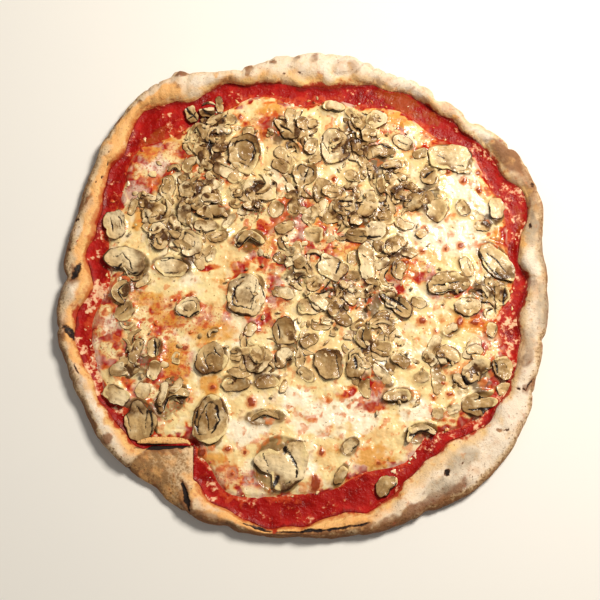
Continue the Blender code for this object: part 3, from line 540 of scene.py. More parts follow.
def turned(dx, dy, turn):
    """How far a step goes along a direction turned by an angle, and across it."""
    a = math.radians(turn)
    return dx * math.cos(a) + dy * math.sin(a), dy * math.cos(a) - dx * math.sin(a)


def oval(x, y, cx, cy, half_length, half_width, turn=0.0):
    """1 inside a turned oval, falling to 0 round its edge."""
    along, across = turned(x - cx, y - cy, turn)
    reach = np.sqrt((along / half_length) ** 2 + (across / half_width) ** 2)
    return 1 - ramp(reach, 0.55, 1.35)


def stroke(x, y, x0, y0, x1, y1, half_width):
    """1 along a stroke from x0, y0 to x1, y1, falling to 0 beside it and at its ends."""
    dx, dy = x1 - x0, y1 - y0
    along = np.clip(((x - x0) * dx + (y - y0) * dy) / (dx * dx + dy * dy), 0, 1)
    away = np.hypot(x - x0 - along * dx, y - y0 - along * dy)
    return bell(away, half_width * (0.45 + 0.55 * np.sin(np.pi * along)))


class Masks(dict):
    """How far each kind of mark covers each point, from 0 up. Where marks of one kind
    meet, the strongest counts."""

    def __init__(self, kinds, x):
        super().__init__((kind, np.zeros_like(x)) for kind in kinds)

    def lay(self, kind, strength, spot):
        """Lays one spot on the mask of its kind."""
        self[kind] = np.maximum(self[kind], strength * spot)


def rim_masks(x, y):
    """How far each point of the dough is toasted, burnt, oily, floury or stained."""
    masks = Masks(RIM_MARKS, x)
    soft = wander(x, y, 7, 4.0, 31)
    sharp = wander(x, y, 3, 1.0, 33)
    for kind, marks in RIM_MARKS.items():
        place = sharp if kind == "char" else soft
        for angle, radius, half_length, half_width, strength in marks:
            a = math.radians(angle)
            spot = oval(*place, radius * math.cos(a), radius * math.sin(a),
                        half_width, half_length, angle)
            masks.lay(kind, strength, spot)
    for kind, strokes in STROKES.items():
        for cx, cy, half_length, half_width, turn, strength in strokes:
            masks.lay(kind, strength, oval(*sharp, cx, cy, half_length, half_width, turn))
            if kind == "char":
                halo = oval(*soft, cx, cy, 1.1 * half_length + 2, half_width + 3, turn)
                masks.lay("toast_and_shade", 0.9 * ramp(half_length, 3, 6), halo)
    return masks


# ---------------------------------------------------------------- mesh making


def make_mesh(name, points, faces, attributes, material):
    """A mesh object from points in millimetres, face arrays and point attributes."""
    points = np.asarray(points, dtype=float)
    mesh = bpy.data.meshes.new(name)
    mesh.vertices.add(len(points))
    mesh.vertices.foreach_set("co", (points * MM).astype(np.float32).ravel())
    corners = np.concatenate([f.ravel() for f in faces]).astype(np.int32)
    sizes = np.concatenate([np.full(len(f), f.shape[1]) for f in faces])
    starts = np.concatenate([[0], np.cumsum(sizes)[:-1]]).astype(np.int32)
    mesh.loops.add(len(corners))
    mesh.loops.foreach_set("vertex_index", corners)
    mesh.polygons.add(len(sizes))
    mesh.polygons.foreach_set("loop_start", starts)
    mesh.update(calc_edges=True)
    mesh.validate()
    for key, values in attributes.items():
        layer = mesh.attributes.new(key, "FLOAT", "POINT")
        layer.data.foreach_set("value", np.asarray(values, dtype=np.float32).ravel())
    mesh.shade_smooth()
    mesh.materials.append(material)
    piece = bpy.data.objects.new(name, mesh)
    bpy.context.scene.collection.objects.link(piece)
    return piece


def ring_faces(rows, columns, start):
    """Quads between closed rows of points, the first row lowest, faces outwards."""
    r = np.arange(rows - 1)[:, None] * columns + start
    c = np.arange(columns)[None, :]
    n = (c + 1) % columns
    quads = np.stack([r + c, r + n, r + n + columns, r + c + columns], -1)
    return quads.reshape(-1, 4)


def fan_faces(row, columns, pole, upwards):
    """Triangles from one closed row of points to a pole."""
    c = np.arange(columns)
    n = (c + 1) % columns
    ends = (row + c, row + n) if upwards else (row + n, row + c)
    return np.stack([ends[0], ends[1], np.full(columns, pole)], -1)


def shell_faces(rows, columns, start=0):
    """Faces of closed rows of points, and fans to the two poles that follow them."""
    pole = start + rows * columns
    return [
        ring_faces(rows, columns, start),
        fan_faces(start, columns, pole, False),
        fan_faces(pole - columns, columns, pole + 1, True),
    ]


def surface_normals(grid):
    """Unit normals of a closed ring grid, from its differences both ways."""
    along = np.gradient(grid, axis=0)
    around = np.roll(grid, -1, axis=1) - np.roll(grid, 1, axis=1)
    normal = np.cross(around, along)
    return normal / np.maximum(np.linalg.norm(normal, axis=2, keepdims=True), 1e-9)


def make_shell(name, grid, bottom, top, data, material):
    """A mesh object from the closed rows of a grid, with a pole at each end. Its values
    are grids too, and are zero at the poles."""
    rows, columns = grid.shape[:2]
    points = np.concatenate([grid.reshape(-1, 3), [bottom], [top]])
    flat = {key: np.broadcast_to(v, (rows, columns)).ravel() for key, v in data.items()}
    attributes = {key: np.concatenate([v, [0.0, 0.0]]) for key, v in flat.items()}
    return make_mesh(name, points, shell_faces(rows, columns), attributes, material)


# ---------------------------------------------------------------- materials


def node(tree, kind, inputs=None, **settings):
    """Adds a shader node, sets its properties, and fills or links its inputs."""
    made = tree.nodes.new(kind)
    for key, value in settings.items():
        setattr(made, key, value)
    for key, value in (inputs or {}).items():
        if isinstance(value, bpy.types.NodeSocket):
            tree.links.new(value, made.inputs[key])
        else:
            made.inputs[key].default_value = value
    return made


def start_material(name):
    """A material with its shader, and Object coordinates in metres."""
    material = bpy.data.materials.new(name)
    material.use_nodes = True
    tree = material.node_tree
    place = node(tree, "ShaderNodeTexCoord").outputs["Object"]
    return material, tree, tree.nodes["Principled BSDF"], place


def grain(tree, place, size_mm, detail=4.0, roughness=0.6, spread=0.2):
    """Noise from 0 to 1 whose patches are about size_mm across, stretched to reach both
    ends of its range."""
    made = node(
        tree, "ShaderNodeTexNoise",
        {"Vector": place, "Scale": 0.7 / (size_mm * MM), "Detail": detail,
         "Roughness": roughness},
    ).outputs["Fac"]
    return node(
        tree, "ShaderNodeMapRange",
        {"Value": made, "From Min": 0.5 - spread, "From Max": 0.5 + spread},
    ).outputs["Result"]


def mask(tree, of, low, high, ends=(0.0, 1.0), noise=None, spread=0.0):
    """A value eased between two ends as it goes from low to high. It is a noise, or a
    mesh value by its name, whose edge a second noise can make ragged."""
    value = of
    if isinstance(of, str):
        value = node(tree, "ShaderNodeAttribute", attribute_name=of).outputs["Fac"]
    if noise is not None:
        value = node(
            tree, "ShaderNodeMath", {0: noise, 1: spread, 2: value},
            operation="MULTIPLY_ADD",
        ).outputs[0]
    shift = 0.5 * spread
    return node(
        tree, "ShaderNodeMapRange",
        {"Value": value, "From Min": low + shift, "From Max": high + shift,
         "To Min": ends[0], "To Max": ends[1]},
        interpolation_type="SMOOTHSTEP",
    ).outputs["Result"]


def paint(tree, base, layers):
    """Lays colours over a base. A layer is what its mask is made of, where the mask
    begins and is full, its strength, its colour, and the noise of its ragged edge."""
    current = base
    for of, low, high, strength, colour, *rough in layers:
        share = mask(tree, of, low, high, (0.0, strength), *rough)
        current = node(
            tree, "ShaderNodeMix", {0: share, 6: current, 7: (*colour, 1.0)},
            data_type="RGBA",
        ).outputs[2]
    return current


def finish(tree, shader, colour, roughness, height, depth_mm, ior, wet=0.0):
    """Connects colour, roughness and fine relief, and adds a thin wet film."""
    bump = node(
        tree, "ShaderNodeBump", {"Height": height, "Strength": 1.0,
                                 "Distance": depth_mm * MM}
    ).outputs["Normal"]
    tree.links.new(colour, shader.inputs["Base Color"])
    tree.links.new(roughness, shader.inputs["Roughness"])
    tree.links.new(bump, shader.inputs["Normal"])
    shader.inputs["IOR"].default_value = ior
    shader.inputs["Coat Weight"].default_value = wet
    shader.inputs["Coat Roughness"].default_value = FILM_ROUGHNESS
    if wet:
        tree.links.new(bump, shader.inputs["Coat Normal"])


def baked_dough(s):
    """Baked wheat dough: matte and floury on the crest, oily and golden inside, with toasted
    patches and burnt blisters where it rose against the oven's heat. Painted grey shade lies on
    parts of the crest and wall, and painted shade lies on part of the outer wall."""
    material, tree, shader, place = start_material("baked_wheat_dough")
    coarse = grain(tree, place, 13, 3)
    fine = grain(tree, place, 3)
    soft = grain(tree, place, 6, 2.5)
    dust = grain(tree, place, 1.2, 4, 0.7)
    layers = [
        ("flour", 0.2, 0.9, 1.0, s.flour, fine, 0.5),
        (coarse, 0.5, 1.0, 0.65, s.tan),
        ("wall", 0.15, 1.0, 0.9, s.outer_brown, dust, 0.9),
        # toasted patches, and painted shade on part of the outer wall
        ("toast_and_shade", 0.2, 0.9, 0.9, s.toast_and_shade, soft, 0.5),
        ("oil", 0.15, 0.8, 0.95, s.golden, soft, 0.6),
        # painted grey shade on the crest and wall
        ("painted_grey_shade", 0.1, 1.3, 0.85, s.painted_grey_shade, soft, 0.8),
        ("lip", 0.1, 0.9, 0.9, s.yellow, soft, 0.7),
        ("lip", 0.45, 1.25, 0.85, s.orange, fine, 0.7),
        (dust, 0.72, 1.0, 0.4, s.toast_and_shade),
        ("speckle", 0.7, 1.2, 0.85, s.speck, dust, 1.6),
        ("tomato", 0.15, 0.75, 1.0, s.tomato_stain, fine, 0.8),
        ("char", 0.1, 0.6, 0.9, s.toast_and_shade, dust, 0.6),
        ("char", 0.35, 0.85, 1.0, s.char, dust, 0.7),
    ]
    colour = paint(tree, (*s.dough, 1.0), layers)
    gloss = mask(tree, "oil", 0.3, 0.9, (0.8, 0.4))
    finish(tree, shader, colour, gloss, dust, 0.3, 1.42)
    return material


def tomato_pulp(s):
    """Cooked tomato pulp: wet and deep red, with lighter pulp and orange oil."""
    material, tree, shader, place = start_material("cooked_tomato_pulp")
    coarse = grain(tree, place, 8, 3)
    fine = grain(tree, place, 2.4, 3, 0.6)
    pulp = grain(tree, place, 1.1, 3)
    layers = [
        (coarse, 0.5, 1.0, 0.8, s.bright),
        (coarse, 0.5, 0.0, 0.8, s.dark),
        (pulp, 0.75, 1.0, 0.25, s.orange),
        ("near_rim", 0.2, 1.0, 0.9, s.dark, fine, 0.6),
        ("near_cheese", 0.45, 1.2, 0.7, s.orange, fine, 0.9),
        ("browned", 0.1, 0.9, 0.85, s.browned, fine, 0.9),
        ("milky", 0.4, 1.1, 0.9, s.orange, fine, 1.2),
        ("milky", 0.65, 1.2, 0.9, s.milky, fine, 1.3),
    ]
    colour = paint(tree, (*s.red, 1.0), layers)
    gloss = mask(tree, coarse, 0.2, 0.8, (0.3, 0.6))
    shader.inputs["Specular IOR Level"].default_value = 0.3
    finish(tree, shader, colour, gloss, fine, 0.35, 1.36)
    return material


def melted_cheese(s):
    """Melted mozzarella: cream, whiter where thick, amber where its oil has pooled, orange and red
    where the sauce shows through, with brown-red blisters. Juice and painted shade darken it round
    the mushrooms and between heaped ones."""
    material, tree, shader, place = start_material("melted_mozzarella")
    coarse = grain(tree, place, 11, 2)
    medium = grain(tree, place, 5, 2)
    fine = grain(tree, place, 1.8, 3)
    specks = grain(tree, place, 1.0, 2)
    cover = mask(tree, "cover", 0.0, 1.0, (0.0, 1.0), medium, 0.45)
    blend = node(tree, "ShaderNodeValToRGB", {"Fac": cover})
    stops = (
        (0.05, s.red), (0.2, s.orange_red), (0.36, s.orange), (0.54, s.peach),
        (0.76, s.cream), (1.0, s.pale),
    )
    ends = blend.color_ramp.elements
    for end, (position, colour) in ((ends[0], stops[0]), (ends[1], stops[-1])):
        end.position = position
        end.color = (*colour, 1.0)
    for position, colour in stops[1:-1]:
        ends.new(position).color = (*colour, 1.0)
    layers = [
        (coarse, 0.5, 1.0, 0.35, s.peach),
        (coarse, 0.5, 0.1, 0.5, s.white),
        ("white", 0.15, 0.85, 0.9, s.white, medium, 0.6),
        ("amber", 0.2, 1.0, 0.9, s.amber, medium, 0.7),
        ("mottle", 0.95, 1.6, 0.5, s.pink, coarse, 1.2),
        (medium, 0.55, 1.0, 0.4, s.amber),
        # juice and painted contact shade round the slices
        ("juice_and_shade", 0.2, 1.0, 0.9, s.juice_and_shade, medium, 0.7),
        # painted shade between heaped slices, with their dark juice
        ("gap", 0.3, 0.9, 0.8, s.gap, medium, 1.0),
        (fine, 0.84, 1.0, 0.75, s.juice_and_shade),
        ("mottle", 1.0, 1.7, 0.7, s.orange_red, specks, 1.6),
        ("dots", 0.15, 0.6, 0.7, s.orange, fine, 0.3),
        ("dots", 0.6, 1.0, 0.6, s.orange_red, fine, 0.3),
        ("ring", 0.2, 0.95, 0.85, s.orange, fine, 0.3),
        ("blister", 0.35, 0.85, 0.95, s.blister, fine, 0.4),
    ]
    colour = paint(tree, blend.outputs["Color"], layers)
    gloss = mask(tree, medium, 0.2, 0.8, (0.2, 0.42))
    finish(tree, shader, colour, gloss, medium, 0.5, 1.44, 0.2)
    return material


def cooked_mushroom(s):
    """Cooked button mushroom: beige flesh, olive-brown where it dried at the edges, nearly black
    gills, moist all over. Its fibres run along each slice. Painted shade darkens one side of each
    slice, its lower edges and what lies under the pile, and a pale painted highlight runs along
    parts of its edges."""
    material, tree, shader, place = start_material("cooked_button_mushroom")
    coarse = grain(tree, place, 7, 2)
    fine = grain(tree, place, 1.4, 3)
    smooth = grain(tree, place, 3.0, 1.5, 0.5)
    parts = {
        axis: node(tree, "ShaderNodeAttribute", attribute_name=name).outputs["Fac"]
        for axis, name in (("X", "along"), ("Y", "across"))
    }
    grown = node(tree, "ShaderNodeCombineXYZ", parts).outputs[0]
    fibres = grain(tree, grown, 1.2 * 1000, 3)
    layers = [
        ("tone", 0.5, 1.1, 0.9, s.tan),
        ("tone", 0.5, -0.1, 0.9, s.pale),
        (coarse, 0.6, 1.0, 0.4, s.olive),
        (coarse, 0.45, 0.0, 0.5, s.pale),
        (fibres, 0.6, 1.0, 0.35, s.outline),
        (fine, 0.78, 1.0, 0.5, s.outline),
        ("core", 0.2, 0.9, 0.75, s.olive, fine, 0.3),
        # painted shade: one side of each slice, its lower edges, under the pile and over the heaps
        ("shade", 0.3, 1.3, 0.85, s.olive, coarse, 0.6),
        ("shade", 1.0, 2.0, 0.9, s.outline, fine, 0.6),
        # pale painted highlight along parts of the edges
        ("edge", -0.02, -0.3, 0.8, s.pale, fine, 0.2),
        ("edge", 0.3, 0.9, 0.95, s.outline, fine, 0.5),
        ("melt", 0.25, 0.8, 0.85, s.film, fine, 0.5),
        ("gill", 0.2, 0.75, 1.0, s.gill, fine, 0.4),
    ]
    colour = paint(tree, (*s.flesh, 1.0), layers)
    gloss = mask(tree, coarse, 0.2, 0.8, (0.28, 0.5))
    shader.inputs["Specular IOR Level"].default_value = 0.3
    finish(tree, shader, colour, gloss, smooth, 0.55, 1.37, 0.2)
    return material


# ---------------------------------------------------------------- settings


def swatch(name, description, code):
    """A colour setting whose default is an sRGB hex value."""
    return FloatVectorProperty(
        name=name, description=description, subtype="COLOR", size=3, min=0.0, max=1.0,
        default=linear(code),
    )


def lump_height(description, height):
    """A setting for how high lumps stand, in millimetres by default."""
    return FloatProperty(
        name="Lumps", description=description, default=height * MM, min=0.0,
        unit="LENGTH",
    )


def light_power(name, description, watts):
    """A setting for a light's power."""
    return FloatProperty(
        name=name, description=description, default=watts, min=0.0, unit="POWER"
    )


class PizzaCrustSettings(bpy.types.PropertyGroup):
    dough: swatch("Dough", "Plain baked dough", "#E6C69C")
    tan: swatch("Tan", "Lightly baked patches", "#D2A783")
    flour: swatch("Flour", "Floury, hardly browned dough", "#F1E0CA")
    # Also the colour of the painted shade on part of the outer wall.
    toast_and_shade: swatch("Toast", "Toasted patches", "#84522C")
    outer_brown: swatch("Outer brown", "The wall's baked outside", "#8C6232")
    golden: swatch("Golden", "Oily golden dough", "#EEAF66")
    yellow: swatch("Yellow", "Dough soaked with a little oil", "#F2C67E")
    orange: swatch("Orange", "Dough stained by sauce and oil", "#C4692A")
    speck: swatch("Specks", "Scorched flour", "#6B4322")
    # The colour of the painted grey shade on the crest and wall.
    painted_grey_shade: swatch("Dull", "Greyish dough where the flour has soaked", "#AF9E86")
    tomato_stain: swatch("Tomato stain", "Sauce dried on the rim", "#AE3414")
    char: swatch("Char", "Burnt dough", "#1C0C06")
    lumps: lump_height("Height of the rim's lumps", 1.0)


class PizzaSauceSettings(bpy.types.PropertyGroup):
    red: swatch("Red", "The sauce's main colour", "#9C0A05")
    bright: swatch("Bright red", "Lighter pulp", "#B81308")
    dark: swatch("Dark red", "Dried sauce", "#740905")
    orange: swatch("Orange", "Orange oil", "#CF4A24")
    browned: swatch("Browned", "Sauce browned by the oven", "#9A4012")
    milky: swatch("Milky", "Drops of melted cheese", "#EFC9A0")
    lumps: lump_height("Height of the sauce's lumps", 0.35)


class PizzaCheeseSettings(bpy.types.PropertyGroup):
    pale: swatch("Pale", "Thick melted cheese", "#F5DC9F")
    cream: swatch("Cream", "Melted cheese", "#ECC586")
    peach: swatch("Peach", "Cheese thinly over sauce", "#DF9C5C")
    orange: swatch("Orange", "Cheese mixed with sauce", "#D8702A")
    orange_red: swatch("Orange red", "Sauce thinly covered", "#B8341A")
    red: swatch("Red", "Bare sauce", "#A30F07")
    white: swatch("White", "Whitest cheese", "#FFF1D6")
    amber: swatch("Amber", "Pooled oil", "#DE9A3C")
    # Juice round the mushrooms and painted shade round them; also small dark specks.
    juice_and_shade: swatch("Juice", "Juice round the mushrooms", "#7A5628")
    pink: swatch("Pink", "Cheese tinted by the sauce", "#F0CCA4")
    # Painted shade between heaped mushrooms, with their dark juice.
    gap: swatch("Gap", "Dark juice between heaped mushrooms", "#4E2E10")
    blister: swatch("Blister", "Browned blisters", "#94350F")
    lumps: lump_height("Height of the cheese's lumps", 0.8)


class PizzaMushroomSettings(bpy.types.PropertyGroup):
    flesh: swatch("Flesh", "Cooked mushroom flesh", "#CFAC76")
    # Also the colour of the painted highlight along parts of the slices' edges.
    pale: swatch("Pale flesh", "The palest slices", "#F5DFB4")
    tan: swatch("Tan flesh", "The brownest slices", "#967447")
    # Also the colour of the painted shade on the slices.
    olive: swatch("Olive", "Brown, translucent shading in the flesh", "#80592A")
    # Dried edges; also the colour of the darkest painted shade under and between slices.
    outline: swatch("Outline", "Dried edges", "#47260B")
    film: swatch("Cheese film", "Cheese melted over the edges", "#EFD59A")
    gill: swatch("Gills", "Dark gills", "#1C0C03")


class PizzaStageSettings(bpy.types.PropertyGroup):
    floor: swatch("Floor", "The floor", "#EFEDE9")
    key_power: light_power("Key light", "Power of the main light", 15.2)
    fill_power: light_power("Fill light", "Power of the fill light", 1.6)


# ---------------------------------------------------------------- crust


def crust_grid(lumps):
    """Rows of the dough's section, from the middle of the underside, round the rim and
    back to the middle of the top. The rim is a quarter ellipse tucked in below, a
    quarter ellipse from the widest ring to the crest, and an inner side whose height
    rises with a power of the distance from its foot. Lumps push it out along its own
    normals; creases, puckers and burnt cracks sink into it."""
    degrees = round_degrees(COLUMNS)
    foot, outer = foot_radius(degrees), outer_radius(degrees)
    crest = crest_height(degrees)
    crest_radius = foot + CREST_AT * (outer - foot)
    equator = EQUATOR * crest
    radii, heights, weights = [], [], []

    def add(radius, height, weight):
        radii.append(np.broadcast_to(radius, degrees.shape))
        heights.append(np.broadcast_to(height, degrees.shape))
        weights.append(weight)

    for share in (0.05, 0.3, 0.6, 0.85, 0.97):
        add((outer - TUCK) * share, 0.0, 0.0)
    for a in np.radians(np.linspace(90, 0, UNDER_ROWS)):
        add(outer - TUCK * (1 - math.cos(a)), equator * (1 - math.sin(a)), math.cos(a))
    for a in np.radians(np.linspace(90, 0, OUTER_ROWS))[1:]:
        add(crest_radius + (outer - crest_radius) * math.sin(a),
            equator + (crest - equator) * math.cos(a), 1.0)
    for share in np.linspace(1, 0, INNER_ROWS)[1:]:
        rise = (1 - (1 - share) ** 2) ** (1 / INNER_FULLNESS)
        add(foot + share * (crest_radius - foot),
            DOUGH_TOP + (crest - DOUGH_TOP) * rise, float(ramp(share, 0.0, 0.3)))
    for share in (0.97, 0.75, 0.4, 0.05):
        add(foot * share, DOUGH_TOP, 0.0)
    radius, height = np.array(radii), np.array(heights)
    weight = np.array(weights)[:, None]
    angle = np.radians(degrees)[None, :]
    grid = np.stack([radius * np.cos(angle), radius * np.sin(angle), height], -1)
    normal = surface_normals(grid)
    x, y, z = grid[..., 0], grid[..., 1], grid[..., 2]
    masks = rim_masks(x, y)
    swell = layered_noise(x + 2 * z, y, 16, 3, 2) - 0.5
    knobs = layered_noise(x, y - 2 * z, 6, 21, 3) - 0.5
    pucker = np.abs(noise(degrees * 2.9 + 0.5 * radius, 0.4 * radius, 8, 23) - 0.5)
    puckers = ring_value(PUCKERED, degrees) * bell(pucker, 0.1)
    push = lumps * (2.6 * swell + 1.0 * knobs - 1.5 * puckers)
    outside = ramp(radius, foot + 0.35 * (outer - foot), outer)
    for centre, depth, width in CREASES:
        push = push - 0.9 * depth * outside * bell(turn_between(degrees, centre), width)
    push = push - 1.1 * ramp(masks["char"], 0.4, 1.0) + 0.7 * masks["oil"] * knobs
    grid = grid + normal * (push * weight)[..., None]
    grid[..., 2] = np.minimum(grid[..., 2], HIGHEST - 0.6 + 0.5 * ramp(z, 9, HIGHEST))
    grid[..., 2] = np.maximum(grid[..., 2], np.where(weight > 0, 0.05, 0.0) * (height > 0))
    return grid, radius, foot, outer, height, masks


class PIZZA_OT_crust(bpy.types.Operator):
    """Makes the baked dough: its flat underside, its uneven rim and its base"""

    bl_idname = "pizza.crust"
    bl_label = "Baked crust"

    def execute(self, context):
        s = context.scene.pizza_crust
        grid, radius, foot, outer, height, masks = crust_grid(s.lumps / MM)
        x, y = grid[..., 0], grid[..., 1]
        degrees = round_degrees(COLUMNS)
        across = (radius - foot) / (outer - foot)
        gold = ring_value(LIP_GOLD, degrees)
        brown = ring_value(WALL_BROWN, degrees)
        folded = fold_share(degrees)
        reach = outer - radius + 5 * (layered_noise(x, y, 14, 43) - 0.5)
        wall = brown * (1 - ramp(reach, 1.0, 6.5)) * (height > 0)
        under = (height <= 0.01) * (0.5 + 0.5 * ramp(layered_noise(x, y, 11, 41), 0.5, 0.62))
        scorched = brown**2 * bell(reach, 2.2) * (height > 0)
        uneven = 0.25 * (layered_noise(x, y, 8, 45) - 0.5)
        stain = 0.3 * (layered_noise(x, y, 9, 53, 3) - 0.5)
        lip = bell(across - 0.06 - stain, 0.2 + 0.2 * uneven) * (0.35 + gold) * (1 - folded)
        band = gold * bell(across - 0.3 + uneven, 0.3) * (1 - folded)
        wrinkle = layered_noise(x + 0.6 * y, 0.35 * y, 3, 47, 3) - 0.5
        plain = 1 - ramp(fold_share(degrees - 1.5) + fold_share(degrees + 1.5), 0.0, 0.5)
        # The fold's skin is baked brown, with painted shade darkening it towards its left end and
        # its outer side.
        skin = folded * (
            0.55 + 0.4 * ramp(-92 - x, -14, 8) + 0.4 * ramp(across, 0.4, 1.0) - 0.6 * wrinkle
        )
        pale = ring_value(CREST_PALE, degrees) * ramp(across, 0.1, 0.4) + uneven
        data = {
            "wall": np.maximum(np.maximum(wall, under), skin * ramp(across, 0.02, 0.2)),
            "flour": np.maximum(masks["flour"], 0.85 * pale * (1 - folded)) * (1 - wall),
            "toast_and_shade": np.maximum(masks["toast_and_shade"], scorched),
            "oil": np.maximum(masks["oil"], band * (1 - 0.7 * masks["flour"]))
            + folded * (0.25 + 0.5 * wrinkle),
            "lip": lip,
            "speckle": 0.1 + 0.6 * brown * ramp(across, 0.4, 1.0),
            "tomato": masks["tomato"] + ramp(0.04 + stain - across, -0.1, 0.08) * plain,
            "char": masks["char"],
            # painted grey shade on the crest and wall
            "painted_grey_shade": masks["painted_grey_shade"],
        }
        piece = make_shell("baked_crust", grid, (0, 0, 0), (0, 0, DOUGH_TOP), data,
                           baked_dough(s))
        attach(piece, "root")
        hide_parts("crust")
        return {"FINISHED"}


class PIZZA_OT_lip(bpy.types.Operator):
    """Makes the torn lip along the fold: a strip of dough, burnt where it hangs down"""

    bl_idname = "pizza.lip"
    bl_label = "Folded lip"

    def execute(self, context):
        material = bpy.data.materials["baked_wheat_dough"]
        around, stations = 16, 90
        t = np.linspace(0, 1, stations)[:, None]
        x = LIP_X + LIP_LENGTH * t
        y = LIP_Y + 1.2 * np.sin(3.2 * t) - 4.0 * ramp(t, 0.86, 1.0)
        z = LIP_Z + 0.9 * np.sin(5 * t + 0.4) - 0.9 * t
        ends = np.sin(np.pi * np.clip(t, 0.015, 0.985)) ** 0.35
        phi = np.arange(around) * 2 * np.pi / around
        thick = LIP_THICK * ends * (1 + 0.5 * (noise(x, y + 0 * phi, 4, 49) - 0.5))
        wide = LIP_WIDE * ends * (1 + 0.6 * (noise(x, 3 * phi[None, :], 5, 51) - 0.5))
        grid = np.stack([x + 0 * phi, y + wide * np.cos(phi), z + thick * np.sin(phi)], -1)
        low = ramp(-np.cos(phi) - 0.5 * np.sin(phi), 0.0, 0.8) + 0 * x
        data = {
            "oil": np.full_like(low, 0.9), "lip": 0.55 + 0.4 * low, "wall": 0.3 * low,
            "char": 1.2 * ramp(low, 0.3, 0.8), "speckle": np.full_like(low, 0.5),
        }
        piece = make_shell("folded_lip", grid, grid[0].mean(0), grid[-1].mean(0), data,
                           material)
        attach(piece, "root")
        return {"FINISHED"}


# ---------------------------------------------------------------- sauce


class PIZZA_OT_sauce(bpy.types.Operator):
    """Makes the tomato sauce: a thin lumpy layer that shows round the cheese"""

    bl_idname = "pizza.sauce"
    bl_label = "Tomato sauce"

    def execute(self, context):
        s = context.scene.pizza_sauce
        degrees = round_degrees(COLUMNS)
        angle = np.radians(degrees)
        edge = foot_radius(degrees) + 0.6
        inner = cheese_radius(degrees)
        start = inner - SAUCE_UNDER_CHEESE
        shares = np.linspace(0, 1, SAUCE_ROWS)[:, None]
        radius = edge + (start - edge) * shares
        x, y = radius * np.cos(angle), radius * np.sin(angle)
        lumps = layered_noise(x, y, 7, 61, 4) - 0.5
        height = SAUCE_TOP + 2.4 * s.lumps / MM * lumps + 1.0 * bell(edge - radius, 2.2)
        top = np.stack([x, y, height], -1)
        low = np.stack([edge * np.cos(angle), edge * np.sin(angle),
                        np.full(COLUMNS, SAUCE_BOTTOM)], -1)[None]
        far = low * (0.4, 0.4, 1.0)
        flat = top[-1:] * (0.5, 0.5, 0.0) + (0, 0, SAUCE_TOP - 0.05)
        grid = np.concatenate([far, low, top, flat])
        gx, gy = grid[..., 0], grid[..., 1]
        r = np.hypot(gx, gy)
        patches = layered_noise(gx, gy, 12, 71)
        spread_out = ramp(layered_noise(*wander(gx, gy, 5, 2, 75), 7, 73, 3), 0.38, 0.62)
        data = {
            "near_cheese": ramp(inner + 14 * patches - 5 - r, -5.0, 4.0),
            "near_rim": ramp(r, edge - 4, edge) * patches * 1.5,
            "milky": np.maximum(
                ramp(inner + 9 * patches - 7 - r, -6.0, 6.0),
                ring_value(SAUCE_MILKY, degrees) * spread_out,
            ),
        }
        browned = Masks(("browned",), r)
        loose = wander(gx, gy, 6, 4, 77)
        for cx, cy, half_length, half_width, turn, strength in SAUCE_BROWNED:
            spot = oval(*loose, cx, cy, half_length, half_width, turn)
            browned.lay("browned", strength, spot)
        piece = make_shell("tomato_sauce_layer", grid, (0, 0, SAUCE_BOTTOM),
                           (0, 0, SAUCE_TOP - 0.05), data | browned, tomato_pulp(s))
        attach(piece, "root")
        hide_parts("tomato_sauce")
        return {"FINISHED"}


# ---------------------------------------------------------------- cheese


def slice_field(x, y, rows):
    """How deep each point lies inside the nearest slice's oval: 1 in its middle, 0 on
    its outline, negative outside, down to -1."""
    field = np.full_like(x, -1.0)
    for _, cx, cy, length, width, turn in rows:
        near = (np.abs(x - cx) < length + 6) & (np.abs(y - cy) < length + 6)
        along, across = turned(x[near] - cx, y[near] - cy, turn)
        reach = np.sqrt((along / (length / 2)) ** 2 + (across / (width / 2)) ** 2)
        inside = (1 - reach) * min(length, width) / 2 / 4.0
        field[near] = np.maximum(field[near], np.clip(inside, -1, 1))
    return field


def heap_density(x, y):
    """How thickly mushrooms are heaped: a bell over each heap, as strong as the share of
    the heap's ground that its slices cover, the strongest counting."""
    dense = np.zeros_like(x)
    for cx, cy, spread, count in SLICE_HEAPS:
        strength = min(1.0, 22 * count / spread**2)
        dense = np.maximum(dense, strength * bell(np.hypot(x - cx, y - cy), 0.8 * spread))
    return dense


def cheese_surface(x, y, lumps):
    """Height of the cheese: full thickness with low waves inside, thinning to
    an edge that dips under the sauce, plus puffed lumps with creases between them."""
    degrees = np.degrees(np.arctan2(y, x)) % 360.0
    radius = np.hypot(x, y)
    inward = np.clip((cheese_radius(degrees) - radius) / CHEESE_SLOPE, 0.0, 1.0)
    waves = (
        0.40 * np.sin(x / 13.0 + 0.4) * np.cos(y / 15.0 + 1.1)
        + 0.35 * np.sin((x + y) / 21.0 + 2.0)
        + 0.25 * np.cos((x - 1.6 * y) / 17.0)
    )
    full = CHEESE_THICK + 0.45 * waves
    soft = layered_noise(x, y, 12, 81, 2) - 0.5
    bx, by = wander(x, y, 8, 2.5, 85)
    puffs = np.minimum(np.abs(noise(bx, by, 6.5, 91) - 0.5), 0.2) / 0.2
    small = np.minimum(np.abs(noise(bx, by, 3.3, 93) - 0.5), 0.25) / 0.25
    relief = 1.6 * soft + 0.6 * (puffs - 0.6) + 0.12 * (small - 0.6)
    height = CHEESE_BOTTOM + (full + lumps * relief) * inward**0.8
    height = height - 1.0 * (1 - ramp(inward, 0.0, 0.45))
    return height, inward


